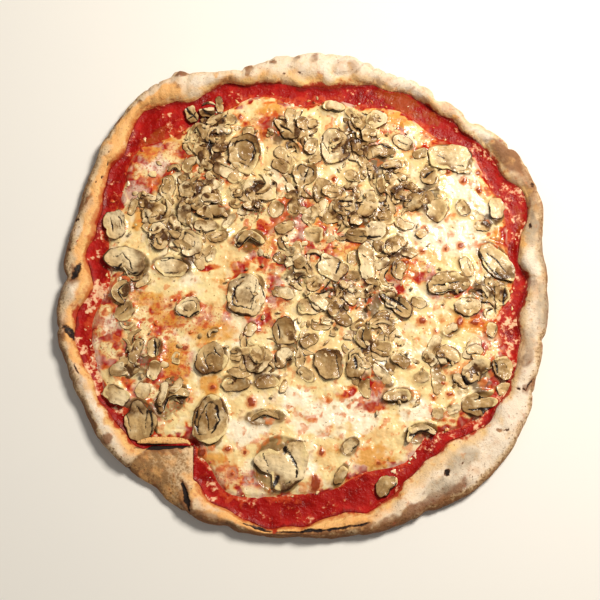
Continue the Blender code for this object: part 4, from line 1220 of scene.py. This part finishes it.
def cheese_net():
    """A square net pressed into a disc and stretched to the cheese's edge: its corners'
    u and v, their steps from the middle as shares of the reach, and the reach."""
    line = np.linspace(-1, 1, CHEESE_SIDE)
    u, v = np.meshgrid(line, line, indexing="ij")
    dx, dy = u * np.sqrt(1 - v**2 / 2), v * np.sqrt(1 - u**2 / 2)
    reach = cheese_radius(np.degrees(np.arctan2(dy, dx)) % 360.0) + 1.5
    return u, v, dx, dy, reach


def closed_sheet(x, y, height, floor):
    """Points and faces of a square net of heights, with a wall from its edge down to a
    floor, which is a fan. Gives the number of points that aren't in the net too."""
    side = len(x)
    top = np.stack([x, y, height], -1).reshape(-1, 3)
    index = np.arange(side * side).reshape(side, side)
    quads = np.stack([index[:-1, :-1], index[1:, :-1], index[1:, 1:], index[:-1, 1:]],
                     -1).reshape(-1, 4)
    loop = np.concatenate([index[:, 0], index[-1, 1:], index[-2::-1, -1],
                           index[0, -2:0:-1]])
    low = top[loop] * (1, 1, 0) + (0, 0, floor)
    ring = np.arange(len(loop)) + len(top)
    following = np.roll(np.arange(len(loop)), -1)
    walls = np.stack([ring, ring[following], loop[following], loop], -1)
    middle = np.full(len(loop), len(top) + len(loop))
    base = np.stack([ring[following], ring, middle], -1)
    points = np.concatenate([top, low, [(0, 0, floor)]])
    return points, [quads, walls, base], len(loop) + 1


def spot_masks(x, y):
    """Amber, bare, white, mottled and blistered places of the cheese."""
    masks = Masks((*CHEESE_SPOTS, "ring"), x)
    soft = wander(x, y, 8, 4.5, 131)
    sharp = wander(x, y, 3, 0.9, 133)
    for kind, spots in CHEESE_SPOTS.items():
        place = sharp if kind == "blister" else soft
        for cx, cy, half_length, half_width, strength in spots:
            masks.lay(kind, strength, oval(*place, cx, cy, half_length, half_width))
            if kind == "blister":
                wide = oval(*place, cx, cy, half_length + RING, half_width + RING)
                masks.lay("ring", 0.8 * strength, wide)
    return masks


class PIZZA_OT_cheese(bpy.types.Operator):
    """Makes the melted mozzarella, with the sauce that shows through it"""

    bl_idname = "pizza.cheese"
    bl_label = "Melted mozzarella"

    def execute(self, context):
        s = context.scene.pizza_cheese
        u, v, dx, dy, reach = cheese_net()
        x, y = dx * reach, dy * reach
        loose = 1.5 * ramp(np.hypot(dx, dy), 0.8, 1.0)
        x = x + loose * (noise(x, y, 6, 101) - 0.7)
        y = y + loose * (noise(x, y, 6, 102) - 0.5)
        height, inward = cheese_surface(x, y, s.lumps / MM)
        field = slice_field(x, y, SLICES + BITS)
        masks = spot_masks(x, y)
        masks["mottle"] = np.minimum(1.0, 0.2 + 1.2 * masks["mottle"])
        swell = 1.0 * bell(field + 0.1, 0.3) * inward - 0.4 * ramp(field, 0.1, 0.5)
        height = height + swell + 0.7 * masks["blister"] - 0.5 * masks["bare"]
        on_edge = (u**2 >= 1) | (v**2 >= 1)
        height = np.where(on_edge, SAUCE_TOP - 0.3, np.maximum(height, SAUCE_TOP - 0.3))
        points, faces, others = closed_sheet(x, y, height, SAUCE_TOP - 0.6)
        patches = layered_noise(*wander(x, y, 7, 4, 113), 8, 111, 2)
        torn = layered_noise(*wander(x, y, 5, 2, 115), 5, 117, 3)
        inset = reach * (1 - np.hypot(dx, dy)) / 14
        edge_cover = ramp(inset + 1.3 * (torn - 0.5), 0.05, 0.5)
        cover = 0.1 + 0.95 * edge_cover - 0.9 * masks["bare"]
        cover = cover - 1.2 * masks["mottle"] * ramp(patches, 0.28, 0.78)
        dots = ramp(layered_noise(*wander(x, y, 4, 1.5, 143), 4.5, 141, 2), 0.6, 0.76)
        data = {
            "cover": cover,
            "dots": dots * (0.35 + 0.65 * masks["mottle"]) * edge_cover,
            "white": masks["white"] * inward * (1 - 0.6 * ramp(patches, 0.5, 0.7)),
            "amber": masks["amber"] * ramp(edge_cover, 0.3, 0.9),
            "mottle": masks["mottle"],
            # Darker just round each slice: its juice, and a painted contact shade.
            "juice_and_shade": ramp(field, -0.5, 0.0) * (0.5 + 0.7 * noise(x, y, 12, 121)),
            # Painted shade under the heaps of mushrooms, with their dark juice.
            "gap": 1.2 * heap_density(x, y) * inward,
            "blister": masks["blister"],
            "ring": masks["ring"],
        }
        data = {k: np.concatenate([v.ravel(), np.zeros(others)]) for k, v in data.items()}
        piece = make_mesh("melted_cheese", points, faces, data, melted_cheese(s))
        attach(piece, "root")
        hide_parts("mozzarella")
        return {"FINISHED"}


# ---------------------------------------------------------------- mushrooms


def superellipse(phi, a, b, power):
    """Distance to a rounded outline: power 2 is an ellipse, 4 almost a rectangle."""
    return (np.abs(np.cos(phi) / a) ** power + np.abs(np.sin(phi) / b) ** power) ** (
        -1.0 / power
    )


def off_centre_ellipse(phi, centre, a, b):
    """Distance from the origin to an ellipse whose middle lies at (centre, 0)."""
    c, s = np.cos(phi), np.sin(phi)
    qa = (c / a) ** 2 + (s / b) ** 2
    qb = -2 * c * centre / a**2
    qc = (centre / a) ** 2 - 1
    return (-qb + np.sqrt(qb**2 - 4 * qa * qc)) / (2 * qa)


def slice_outline(kind, length, width, phi, seed, torn):
    """Distance from a slice's middle to its outline, by direction. Torn is how far the
    outline strays from its smooth shape."""
    a, b = length / 2, width / 2
    rng = np.random.default_rng(seed)
    shift = rng.random(5) * 2 * np.pi
    wobble = 1 + torn * (
        np.sin(3 * phi + shift[0]) + 0.7 * np.sin(5 * phi + shift[1])
        + 0.4 * np.sin(9 * phi + shift[2]) + 0.25 * np.sin(14 * phi + shift[3])
        + 0.9 * np.sin(2 * phi + shift[2])
    )
    bite = turn_between(np.degrees(phi), np.degrees(shift[4]))
    wobble = wobble * (1 - 4 * torn * rng.random() * bell(bite, 16))
    if kind == "whole":
        cap = off_centre_ellipse(phi, -0.38 * a, 0.62 * a, b)
        stem = off_centre_ellipse(phi, 0.3 * a, 0.7 * a, 0.42 * b)
        radius = (cap**8 + stem**8) ** 0.125
    elif kind == "cap":
        dent = bell(turn_between(np.degrees(phi), 270), 42)
        radius = superellipse(phi, a, b, 2.0) * (1 - (0.32 + 3 * torn) * dent)
    elif kind == "stem":
        radius = superellipse(phi, a, b, 3.2) * (1 + 0.08 * np.cos(phi))
    else:
        power = {"disc": 2.2, "slab": 3.4, "leaf": 1.5, "curl": 2.6}[kind]
        radius = superellipse(phi, a, b, power)
    return radius * wobble


def slice_detail(kind, u, v, reach, rng):
    """Gill and core shading for a slice seen from above. u and v run from -1 to 1 along
    and across it, reach from 0 to 1 outwards."""
    gill, core = np.zeros_like(u), np.zeros_like(u)
    strong = 0.7 + 0.3 * rng.random()
    turn = np.arctan2(v, u)
    if kind == "whole":
        curve = -0.1 + 0.2 * v**2
        sides = ramp(np.abs(v), 0.3, 0.45) * (1 - ramp(np.abs(v), 0.82, 0.95))
        gill = bell(u - curve, 0.1) * sides * strong
        core = 0.6 * bell(u - curve + 0.25, 0.2) * sides
    elif kind == "cap":
        dent = bell(turn_between(np.degrees(turn), 270), 62)
        gill = bell(reach - 0.86, 0.11) * ramp(dent, 0.25, 0.7) * strong
        core = 0.7 * bell(reach - 0.62, 0.2) * ramp(dent, 0.1, 0.7)
    elif kind == "disc":
        phase = rng.random() * 2 * np.pi
        ring = 0.66 + 0.05 * np.sin(3 * turn + phase)
        part = ramp(np.cos(turn - phase), -0.7, 0.4)
        gill = bell(reach - ring, 0.05) * part * strong * (rng.random() > 0.3)
        gill = np.maximum(gill, 0.8 * bell(reach - 0.34, 0.04) * (1 - part))
        core = 0.8 * (1 - ramp(reach, 0.25, ring)) * (0.3 + 0.7 * rng.random())
    elif kind == "slab":
        line = 0.3 * rng.standard_normal()
        gill = bell(v - line - 0.3 * u**2, 0.07) * (rng.random() > 0.72) * strong
        gill = gill * (1 - ramp(np.abs(u), 0.4, 0.7))
        core = 0.45 * bell(v - line, 0.4)
    elif kind == "leaf":
        core = 0.5 * bell(v, 0.3)
        gill = 0.8 * bell(v + 0.7 - 0.4 * u**2, 0.09)
    elif kind == "curl":
        gill = 0.9 * ramp(-v, 0.35, 0.75)
    return np.clip(gill, 0, 1), np.clip(core, 0, 1)


def slice_grid(row, thick, number, sides, rings, torn):
    """Closed rows of one slice round its own middle: a flat underside, a narrow rounded
    edge, and a top that is grooved at the gills; the whole sheet is a little wavy, with
    part of its edge curled up. A curl is a narrow slice bent into an arch, its length
    carried along a parabola."""
    kind, _, _, length, width, _ = row
    rng = np.random.default_rng(700 + number)
    phi = np.arange(sides) * 2 * np.pi / sides
    if kind == "curl":
        radius = slice_outline(kind, length * 1.25, width * 0.42, phi, number, torn)
    else:
        radius = slice_outline(kind, length, width, phi, number, torn)
    rim_rows = FINE_EDGE if rings > 5 else COARSE_EDGE
    inwards = [(share, 0.5) for share in np.linspace(0.9, 0.0, rings + 1)[:-1]]
    reach, level = np.array(rim_rows + inwards).T[:, :, None]
    x, y = reach * radius * np.cos(phi), reach * radius * np.sin(phi)
    half = radius.max() if kind == "curl" else length / 2
    u, v = x / half, y / np.abs(y).max()
    gill, core = slice_detail(kind, u, v, reach, rng)
    top = level >= 0.45
    height = level * thick
    if kind == "stem":
        height = np.where(top, thick * (0.5 - 0.4 * v**2), height)
    uneven = noise(x + 37 * number, y, 8, 151) - 0.5
    facing = np.cos(phi - rng.random() * ONCE_ROUND)
    lift = ramp(reach, 0.35, 1.0) * ramp(facing, 0.1, 1.0)
    small = noise(x + 37 * number, y, 2.6, 153) - 0.5
    height = height + (2.6 * uneven + 1.5 * lift) * thick / 3
    height = height + np.where(top, 0.2 * small - 0.5 * gill, 0.0)
    rim = ramp(reach, 0.9, 0.965) * (level > -0.4)
    # Painted shade on the lower part of the slice's edge.
    low = ramp(0.25 - level, 0.0, 0.5)
    slope = 0.4 * reach * np.cos(phi - rng.random() * ONCE_ROUND)
    # Painted shade: one side of each slice is darker, as if turned from the light.
    faces_to = math.radians(SHADED_SIDE.get(number, 360 * rng.random()) - row[5])
    side = ramp(reach * np.cos(phi - faces_to), -0.25, 0.95)
    patch = noise(2 * x + 11 * number, y, 7, 163)
    side = side * (0.8 + 0.9 * patch if number in SHADED_SIDE else 0.25 + 1.1 * patch)
    contour = bell(reach - 0.8, 0.05) * ramp(noise(x + 7 * number, y, 5, 165), 0.4, 0.7)
    tone = 0.1 if number in PALE_SLICES else 0.9 if number in BROWN_SLICES else rng.random()
    data = {
        "gill": np.where(top, gill, 0.0),
        "core": np.where(top, np.maximum(core, 0.5 * contour), 0.0),
        # Dark dried edges where this is positive; a pale painted highlight along the edge where it
        # is negative.
        "edge": rim * (2.3 * noise(x + 11 * number, y, 6, 161) - 0.5),
        # Darker a little towards the edge, with painted shade on one side and on the lower edge.
        "shade": 0.25 * ramp(reach, 0.4, 1.0) * patch + side + 1.5 * low,
        "melt": ramp(reach, 0.5, 1.0) * (level > -0.4),
        "tone": tone + slope,
        "along": 0.35 * x + 50 * number,
        "across": 1.3 * y,
    }
    if kind == "curl":
        along = np.clip(x / (length * 0.625), -1, 1)
        arch = (width * 0.58) * (0.45 - along**2)
        slope = np.arctan(-2 * (width * 0.58) * along / (length * 0.5))
        x, y = (along * length * 0.5 * 0.92 - y * np.sin(slope)), arch + y * np.cos(slope)
    return np.stack([x, y, height], -1), data


def lay_slices(name, laid, detail, material, pile):
    """Joins slices into one mesh. Each is turned, moved, and laid on its own plane with lifted
    ends: height is a*x + b*y + c, plus a bend that grows with the square of the distance along it.
    Painted shade darkens what lies close under the pile's top, and patches of the heaps."""
    points, quads, fans, data = [], [], [], {}
    sides, rings, torn = detail
    start = 0
    for row, thick, (lean_x, lean_y, base, bend), number in laid:
        _, cx, cy, length, _, turn = row
        grid, marks = slice_grid(row, thick, number, sides, rings, torn)
        x, y, z = grid[..., 0], grid[..., 1], grid[..., 2]
        wx, wy = turned(x, y, -turn)
        z = z + base + lean_x * wx + lean_y * wy + bend * (2 * x / length) ** 2
        wx, wy = wx + cx, wy + cy
        bent = wander(wx, wy, 6, 1.6, 171)
        # Gills and slits, and painted shadows beside slices, darken and groove the slices.
        for line in GILL_AND_SHADOW_STROKES:
            if abs(line[0] - cx) + abs(line[1] - cy) < length:
                dark = 0.9 * stroke(*bent, *line)
                marks["gill"] = np.maximum(marks["gill"], dark)
                z = z - 0.5 * dark
        # Painted shade: darker where the pile's top lies just above a slice, and in patches over
        # the heaps.
        sunk = pile.nearby(wx, wy) - z
        heap_shade = heap_density(wx, wy) * ramp(noise(*bent, 3.6, 181), 0.5, 0.75)
        film = ramp(noise(*bent, 8, 191), 0.5, 0.75)
        marks["melt"] = marks["melt"] * film * (1 - heap_density(wx, wy))
        marks["shade"] = marks["shade"] + 3.2 * ramp(sunk, 0.1, 1.0) + 2.3 * heap_shade
        grid = np.stack([wx, wy, np.minimum(z, HIGHEST)], -1)
        poles = [grid[0].mean(0), grid[-1].mean(0)]
        points.append(np.concatenate([grid.reshape(-1, 3), poles]))
        around, *tips = shell_faces(len(grid), sides, start)
        quads.append(around)
        fans += tips
        for key, values in marks.items():
            ends = [values[0].mean(), values[-1].mean()]
            data.setdefault(key, []).append(np.concatenate([values.ravel(), ends]))
        start += len(points[-1])
    data = {k: np.concatenate(v) for k, v in data.items()}
    faces = [np.concatenate(quads), np.concatenate(fans)]
    piece = make_mesh(name, np.concatenate(points), faces, data, material)
    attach(piece, "root")
    return piece


def node_plane(node_name, row):
    """The lean, height and bend of a frame slice: a plane and a bend fitted through its
    corners by least squares, then lowered, because the rest of it has sunk in."""
    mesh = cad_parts[node_name].data
    corners = np.zeros(len(mesh.vertices) * 3)
    mesh.vertices.foreach_get("co", corners)
    corners = np.unique(np.round(corners.reshape(-1, 3) / MM, 3), axis=0)
    dx, dy = corners[:, 0] - row[1], corners[:, 1] - row[2]
    along = turned(dx, dy, row[5])[0] * 2 / row[3]
    design = np.column_stack([dx, dy, np.ones(len(dx)), along**2])
    lean_x, lean_y, base, bend = np.linalg.lstsq(design, corners[:, 2], rcond=None)[0]
    base -= 0.5 * (1 - SHOWN) * THICK[row[0]] + 0.2
    return lean_x, lean_y, base, float(np.clip(bend, -0.2, 1.4))


class Pile:
    """The heights of what lies on the pizza so far, on a net of square cells."""

    cell = 1.5
    half = 120

    def __init__(self, lumps):
        side = (np.arange(2 * self.half) - self.half) * self.cell
        self.x, self.y = np.meshgrid(side, side, indexing="ij")
        height, _ = cheese_surface(self.x, self.y, lumps)
        self.height = np.maximum(height, SAUCE_TOP)

    def under(self, row):
        """The cells under a slice, and their places from its middle."""
        _, cx, cy, length, width, turn = row
        dx, dy = self.x - cx, self.y - cy
        along, across = turned(dx, dy, turn)
        reach = (along / (0.45 * length)) ** 2 + (across / (0.45 * width)) ** 2
        cells = reach < 1 + 2.0 / length
        return cells, dx[cells], dy[cells]

    def nearby(self, x, y):
        """The mean of the pile's heights at four places 2 mm from each point."""
        total = 0.0
        for dx, dy in ((2, 0), (-2, 0), (0, 2), (0, -2)):
            i = np.round((x + dx) / self.cell).astype(int) + self.half
            j = np.round((y + dy) / self.cell).astype(int) + self.half
            last = 2 * self.half - 1
            total = total + self.height[np.clip(i, 0, last), np.clip(j, 0, last)]
        return total / 4

    def cover(self, row, thick, plane):
        """Raises the pile by a slice that lies on the given plane."""
        cells, dx, dy = self.under(row)
        lean_x, lean_y, base, _ = plane
        top = base + lean_x * dx + lean_y * dy + 0.35 * thick
        self.height[cells] = np.maximum(self.height[cells], top)

    def settle(self, row, thick, sunk):
        """The plane on which a slice comes to rest: fitted to the heights under it by
        least squares, lifted towards their highest, and sunk by a given depth."""
        cells, dx, dy = self.under(row)
        below = self.height[cells]
        if len(below) < 4:
            return 0.0, 0.0, float(self.height[self.half, self.half]) + thick / 2, 0.0
        design = np.column_stack([dx, dy, np.ones(len(dx))])
        lean_x, lean_y, base = np.linalg.lstsq(design, below, rcond=None)[0]
        lean_x, lean_y = np.clip([lean_x, lean_y], -0.25, 0.25)
        lift = 0.35 * (below.max() - below.mean())
        base = min(below.mean() + lift + thick / 2 - sunk, HIGHEST - 2.0)
        plane = (lean_x, lean_y, base, 0.0)
        self.cover(row, thick, plane)
        return plane

    def strew(self, rows, thick, sunk, first):
        """Settles slices one on another. Gives each with its thickness, its plane and
        its number, counted from the first."""
        return [(row, thick, self.settle(row, thick, sunk), number)
                for number, row in enumerate(rows, first)]


def scattered(heaps, kinds, rng, shortest, longest, crowd):
    """Slices strewn over heaps, denser towards the middle of each, kept on the pizza.
    Crowd multiplies how many each heap has."""
    rows = []
    for cx, cy, spread, count in heaps:
        for _ in range(round(crowd * count)):
            x, y = np.array([cx, cy]) + 0.6 * spread * rng.standard_normal(2)
            kind = kinds[rng.integers(len(kinds))]
            length = shortest + (longest - shortest) * rng.random() ** 1.3
            slim = 0.3 if kind == "stem" else 0.36
            width = length * (slim + 0.35 * rng.random())
            if math.hypot(x, y) < STREWN_TO:
                rows.append((kind, x, y, length, width, 360 * rng.random()))
    return rows


def lay_pile(lumps):
    """Where every loose piece comes to rest: lower heaps, large slices, upper heaps,
    small slices and crumbs, one on another. Gives the pile and what lies in it."""
    rng = np.random.default_rng(17)
    pile = Pile(lumps)
    heaped = scattered(SLICE_HEAPS, HEAPED_KINDS, rng, shortest=9, longest=19.5, crowd=1.3)
    lower, upper = heaped[::3] + heaped[1::3], heaped[2::3]
    heaps = pile.strew(lower, thick=1.5, sunk=0.9, first=300)
    large = []
    for number, row in enumerate(SLICES, 1):
        plane = node_plane(f"mushroom_{row[0]}_{number:02d}", row)
        thick = SHOWN * THICK[row[0]]
        pile.cover(row, thick, plane)
        large.append((row, thick, plane, number))
    heaps += pile.strew(upper, thick=1.4, sunk=0.6, first=600)
    bits = pile.strew(BITS, thick=1.8, sunk=0.8, first=200)
    strewn = scattered(CRUMB_HEAPS, CRUMB_KINDS, rng, shortest=2.4, longest=6.5, crowd=0.5)
    crumbs = pile.strew(strewn, thick=1.1, sunk=0.3, first=900)
    return pile, large, heaps, bits, crumbs


class PIZZA_OT_slices(bpy.types.Operator):
    """Makes the large mushroom slices, one piece for each kind of cut"""

    bl_idname = "pizza.slices"
    bl_label = "Mushroom slices"

    def execute(self, context):
        material = cooked_mushroom(context.scene.pizza_mushroom)
        pile, large, *_ = lay_pile(context.scene.pizza_cheese.lumps / MM)
        for kind in THICK:
            laid = [slice_ for slice_ in large if slice_[0][0] == kind]
            piece = lay_slices(f"mushroom_{kind}_slices", laid, LARGE_MESH, material, pile)
            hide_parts(*(f"mushroom_{kind}_{number:02d}" for *_, number in laid))
        return {"FINISHED"}


class PIZZA_OT_bits(bpy.types.Operator):
    """Makes the middling and small mushroom pieces heaped round the large slices, and
    crumbs and shreds"""

    bl_idname = "pizza.bits"
    bl_label = "Mushroom bits"

    def execute(self, context):
        material = bpy.data.materials["cooked_button_mushroom"]
        pile, _, heaps, bits, crumbs = lay_pile(context.scene.pizza_cheese.lumps / MM)
        lay_slices("mushroom_heaps", heaps, HEAPED_MESH, material, pile)
        lay_slices("mushroom_bits", bits, BIT_MESH, material, pile)
        lay_slices("mushroom_crumbs", crumbs, CRUMB_MESH, material, pile)
        return {"FINISHED"}


class PIZZA_OT_shreds(bpy.types.Operator):
    """Makes the drops and shreds of cheese that lie on the sauce and the mushrooms"""

    bl_idname = "pizza.shreds"
    bl_label = "Cheese shreds"

    def execute(self, context):
        material = bpy.data.materials["melted_mozzarella"]
        rng = np.random.default_rng(29)
        count, sides = 220, 9
        degrees = 360 * rng.random(count)
        out = rng.random(count)
        near_edge = cheese_radius(degrees) - 4 + 9 * rng.random(count) ** 1.5
        radius = np.where(out < 0.65, near_edge, 128 * np.sqrt(rng.random(count)))
        cx, cy = radius * np.cos(np.radians(degrees)), radius * np.sin(np.radians(degrees))
        size = (0.4 + 1.3 * rng.random(count) ** 3)[:, None, None]
        slim = size * (0.5 + 0.7 * rng.random(count))[:, None, None]
        turn = (2 * np.pi * rng.random(count))[:, None, None]
        height, _ = cheese_surface(cx, cy, context.scene.pizza_cheese.lumps / MM)
        ground = np.maximum(height, SAUCE_TOP)[:, None, None]
        phi = (np.arange(sides) * 2 * np.pi / sides)[None, None, :]
        reach = np.array([0.7, 1.0, 0.75])[None, :, None]
        level = np.array([-0.5, 0.0, 0.55])[None, :, None]
        bumpy = 1 + 0.3 * np.sin(3 * phi + 9 * turn) + 0.2 * np.sin(2 * phi + 5 * turn)
        along = reach * size * 1.2 * bumpy * np.cos(phi)
        across = reach * slim * bumpy * np.sin(phi)
        x = cx[:, None, None] + along * np.cos(turn) - across * np.sin(turn)
        y = cy[:, None, None] + along * np.sin(turn) + across * np.cos(turn)
        z = ground + 0.05 + level * (0.35 + 0.15 * size) + 0 * x
        rings = np.stack([x, y, z], -1)
        poles = np.stack([rings[:, 0].mean(1), rings[:, -1].mean(1) + (0, 0, 0.2)], 1)
        points = np.concatenate([rings.reshape(count, -1, 3), poles], 1)
        per = points.shape[1]
        start = (np.arange(count) * per)[:, None, None]
        faces = [(f + start).reshape(-1, f.shape[1]) for f in shell_faces(3, sides)]
        tint = np.repeat(rng.random(count), per)
        data = {"cover": 0.25 + 0.7 * tint, "white": np.where(tint > 0.8, 0.6, 0.0)}
        piece = make_mesh("cheese_shreds", points.reshape(-1, 3), faces, data, material)
        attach(piece, "root")
        return {"FINISHED"}


# ---------------------------------------------------------------- stage


# Name, place and width in metres, and colour of each light.
LIGHTS = (
    ("key_light", (0.5, 0.42, 0.88), 0.3, (1.0, 0.93, 0.82)),
    ("fill_light", (-0.8, -0.5, 1.0), 1.2, (1.0, 0.97, 0.92)),
)
ROOM_COLOUR, ROOM_STRENGTH = (1.0, 0.95, 0.87, 1.0), 0.16
FLOOR_REACH = 3000.0  # from the middle of the floor to each side
CAMERA_AIM = (-2.0, -9.5, 6.0)
CAMERA_AWAY = 0.9  # in metres
CAMERA_TILT = 12.0  # from looking straight down
CAMERA_LENS, CAMERA_SENSOR = 81.0, 36.0


def link_new(name, data):
    """A new object in the scene, for a light or a camera."""
    made = bpy.data.objects.new(name, data)
    bpy.context.scene.collection.objects.link(made)
    return made


class PIZZA_OT_stage(bpy.types.Operator):
    """Sets the floor, the lights and the camera"""

    bl_idname = "pizza.stage"
    bl_label = "Stage"

    def execute(self, context):
        s = context.scene.pizza_stage
        scene = context.scene
        material, tree, shader, place = start_material("matte_paper_floor")
        shade = paint(tree, (*s.floor, 1.0), [
            (grain(tree, place, 40), 0.4, 0.7, 0.06, (0.8, 0.8, 0.8))])
        tree.links.new(shade, shader.inputs["Base Color"])
        shader.inputs["Roughness"].default_value = 0.9
        far = FLOOR_REACH
        corners = np.array([(-far, -far, 0), (far, -far, 0), (far, far, 0), (-far, far, 0)])
        floor = make_mesh("floor", corners, [np.array([[0, 1, 2, 3]])], {}, material)
        powers = (s.key_power, s.fill_power)
        for (name, place, width, colour), power in zip(LIGHTS, powers):
            light = bpy.data.lights.new(name, "AREA")
            light.size = width
            light.energy = power
            light.color = colour
            lamp = link_new(name, light)
            lamp.location = place
            lamp.rotation_euler = (-Vector(place)).to_track_quat("-Z", "Y").to_euler()
        world = bpy.data.worlds.new("soft_room")
        world.use_nodes = True
        background = world.node_tree.nodes["Background"]
        background.inputs["Color"].default_value = ROOM_COLOUR
        background.inputs["Strength"].default_value = ROOM_STRENGTH
        scene.world = world
        scene.view_settings.view_transform = "Standard"
        camera = bpy.data.cameras.new("camera")
        camera.sensor_width = CAMERA_SENSOR
        camera.lens = CAMERA_LENS
        seat = link_new("camera", camera)
        tilt = math.radians(CAMERA_TILT)
        back = Vector((0.0, -math.sin(tilt), math.cos(tilt)))
        seat.location = Vector(CAMERA_AIM) * MM + CAMERA_AWAY * back
        seat.rotation_euler = (tilt, 0.0, 0.0)
        scene.camera = seat
        return {"FINISHED"}


class PIZZA_PT_panel(bpy.types.Panel):
    """Lists the pizza's pieces and their settings"""

    bl_idname = "PIZZA_PT_panel"
    bl_label = "Pizza"
    bl_space_type = "VIEW_3D"
    bl_region_type = "UI"
    bl_category = "Pizza"

    def draw(self, context):
        for operator, group in PARTS:
            box = self.layout.box()
            box.operator(operator.bl_idname)
            if group:
                settings = getattr(context.scene, group)
                for key in settings.bl_rna.properties.keys():
                    if key not in ("rna_type", "name"):
                        box.prop(settings, key)


PARTS = (
    (PIZZA_OT_crust, "pizza_crust"),
    (PIZZA_OT_lip, None),
    (PIZZA_OT_sauce, "pizza_sauce"),
    (PIZZA_OT_cheese, "pizza_cheese"),
    (PIZZA_OT_shreds, None),
    (PIZZA_OT_slices, "pizza_mushroom"),
    (PIZZA_OT_bits, None),
    (PIZZA_OT_stage, "pizza_stage"),
)
GROUPS = {
    "pizza_crust": PizzaCrustSettings,
    "pizza_sauce": PizzaSauceSettings,
    "pizza_cheese": PizzaCheeseSettings,
    "pizza_mushroom": PizzaMushroomSettings,
    "pizza_stage": PizzaStageSettings,
}


def register():
    for group in GROUPS.values():
        bpy.utils.register_class(group)
    for operator, _ in PARTS:
        bpy.utils.register_class(operator)
    bpy.utils.register_class(PIZZA_PT_panel)
    for name, group in GROUPS.items():
        setattr(bpy.types.Scene, name, PointerProperty(type=group))


def unregister():
    for name in GROUPS:
        delattr(bpy.types.Scene, name)
    bpy.utils.unregister_class(PIZZA_PT_panel)
    for operator, _ in reversed(PARTS):
        bpy.utils.unregister_class(operator)
    for group in reversed(list(GROUPS.values())):
        bpy.utils.unregister_class(group)


def main():
    register()
    for operator, _ in PARTS:
        group, action = operator.bl_idname.split(".")
        getattr(getattr(bpy.ops, group), action)()


if __name__ == "__main__":
    main()
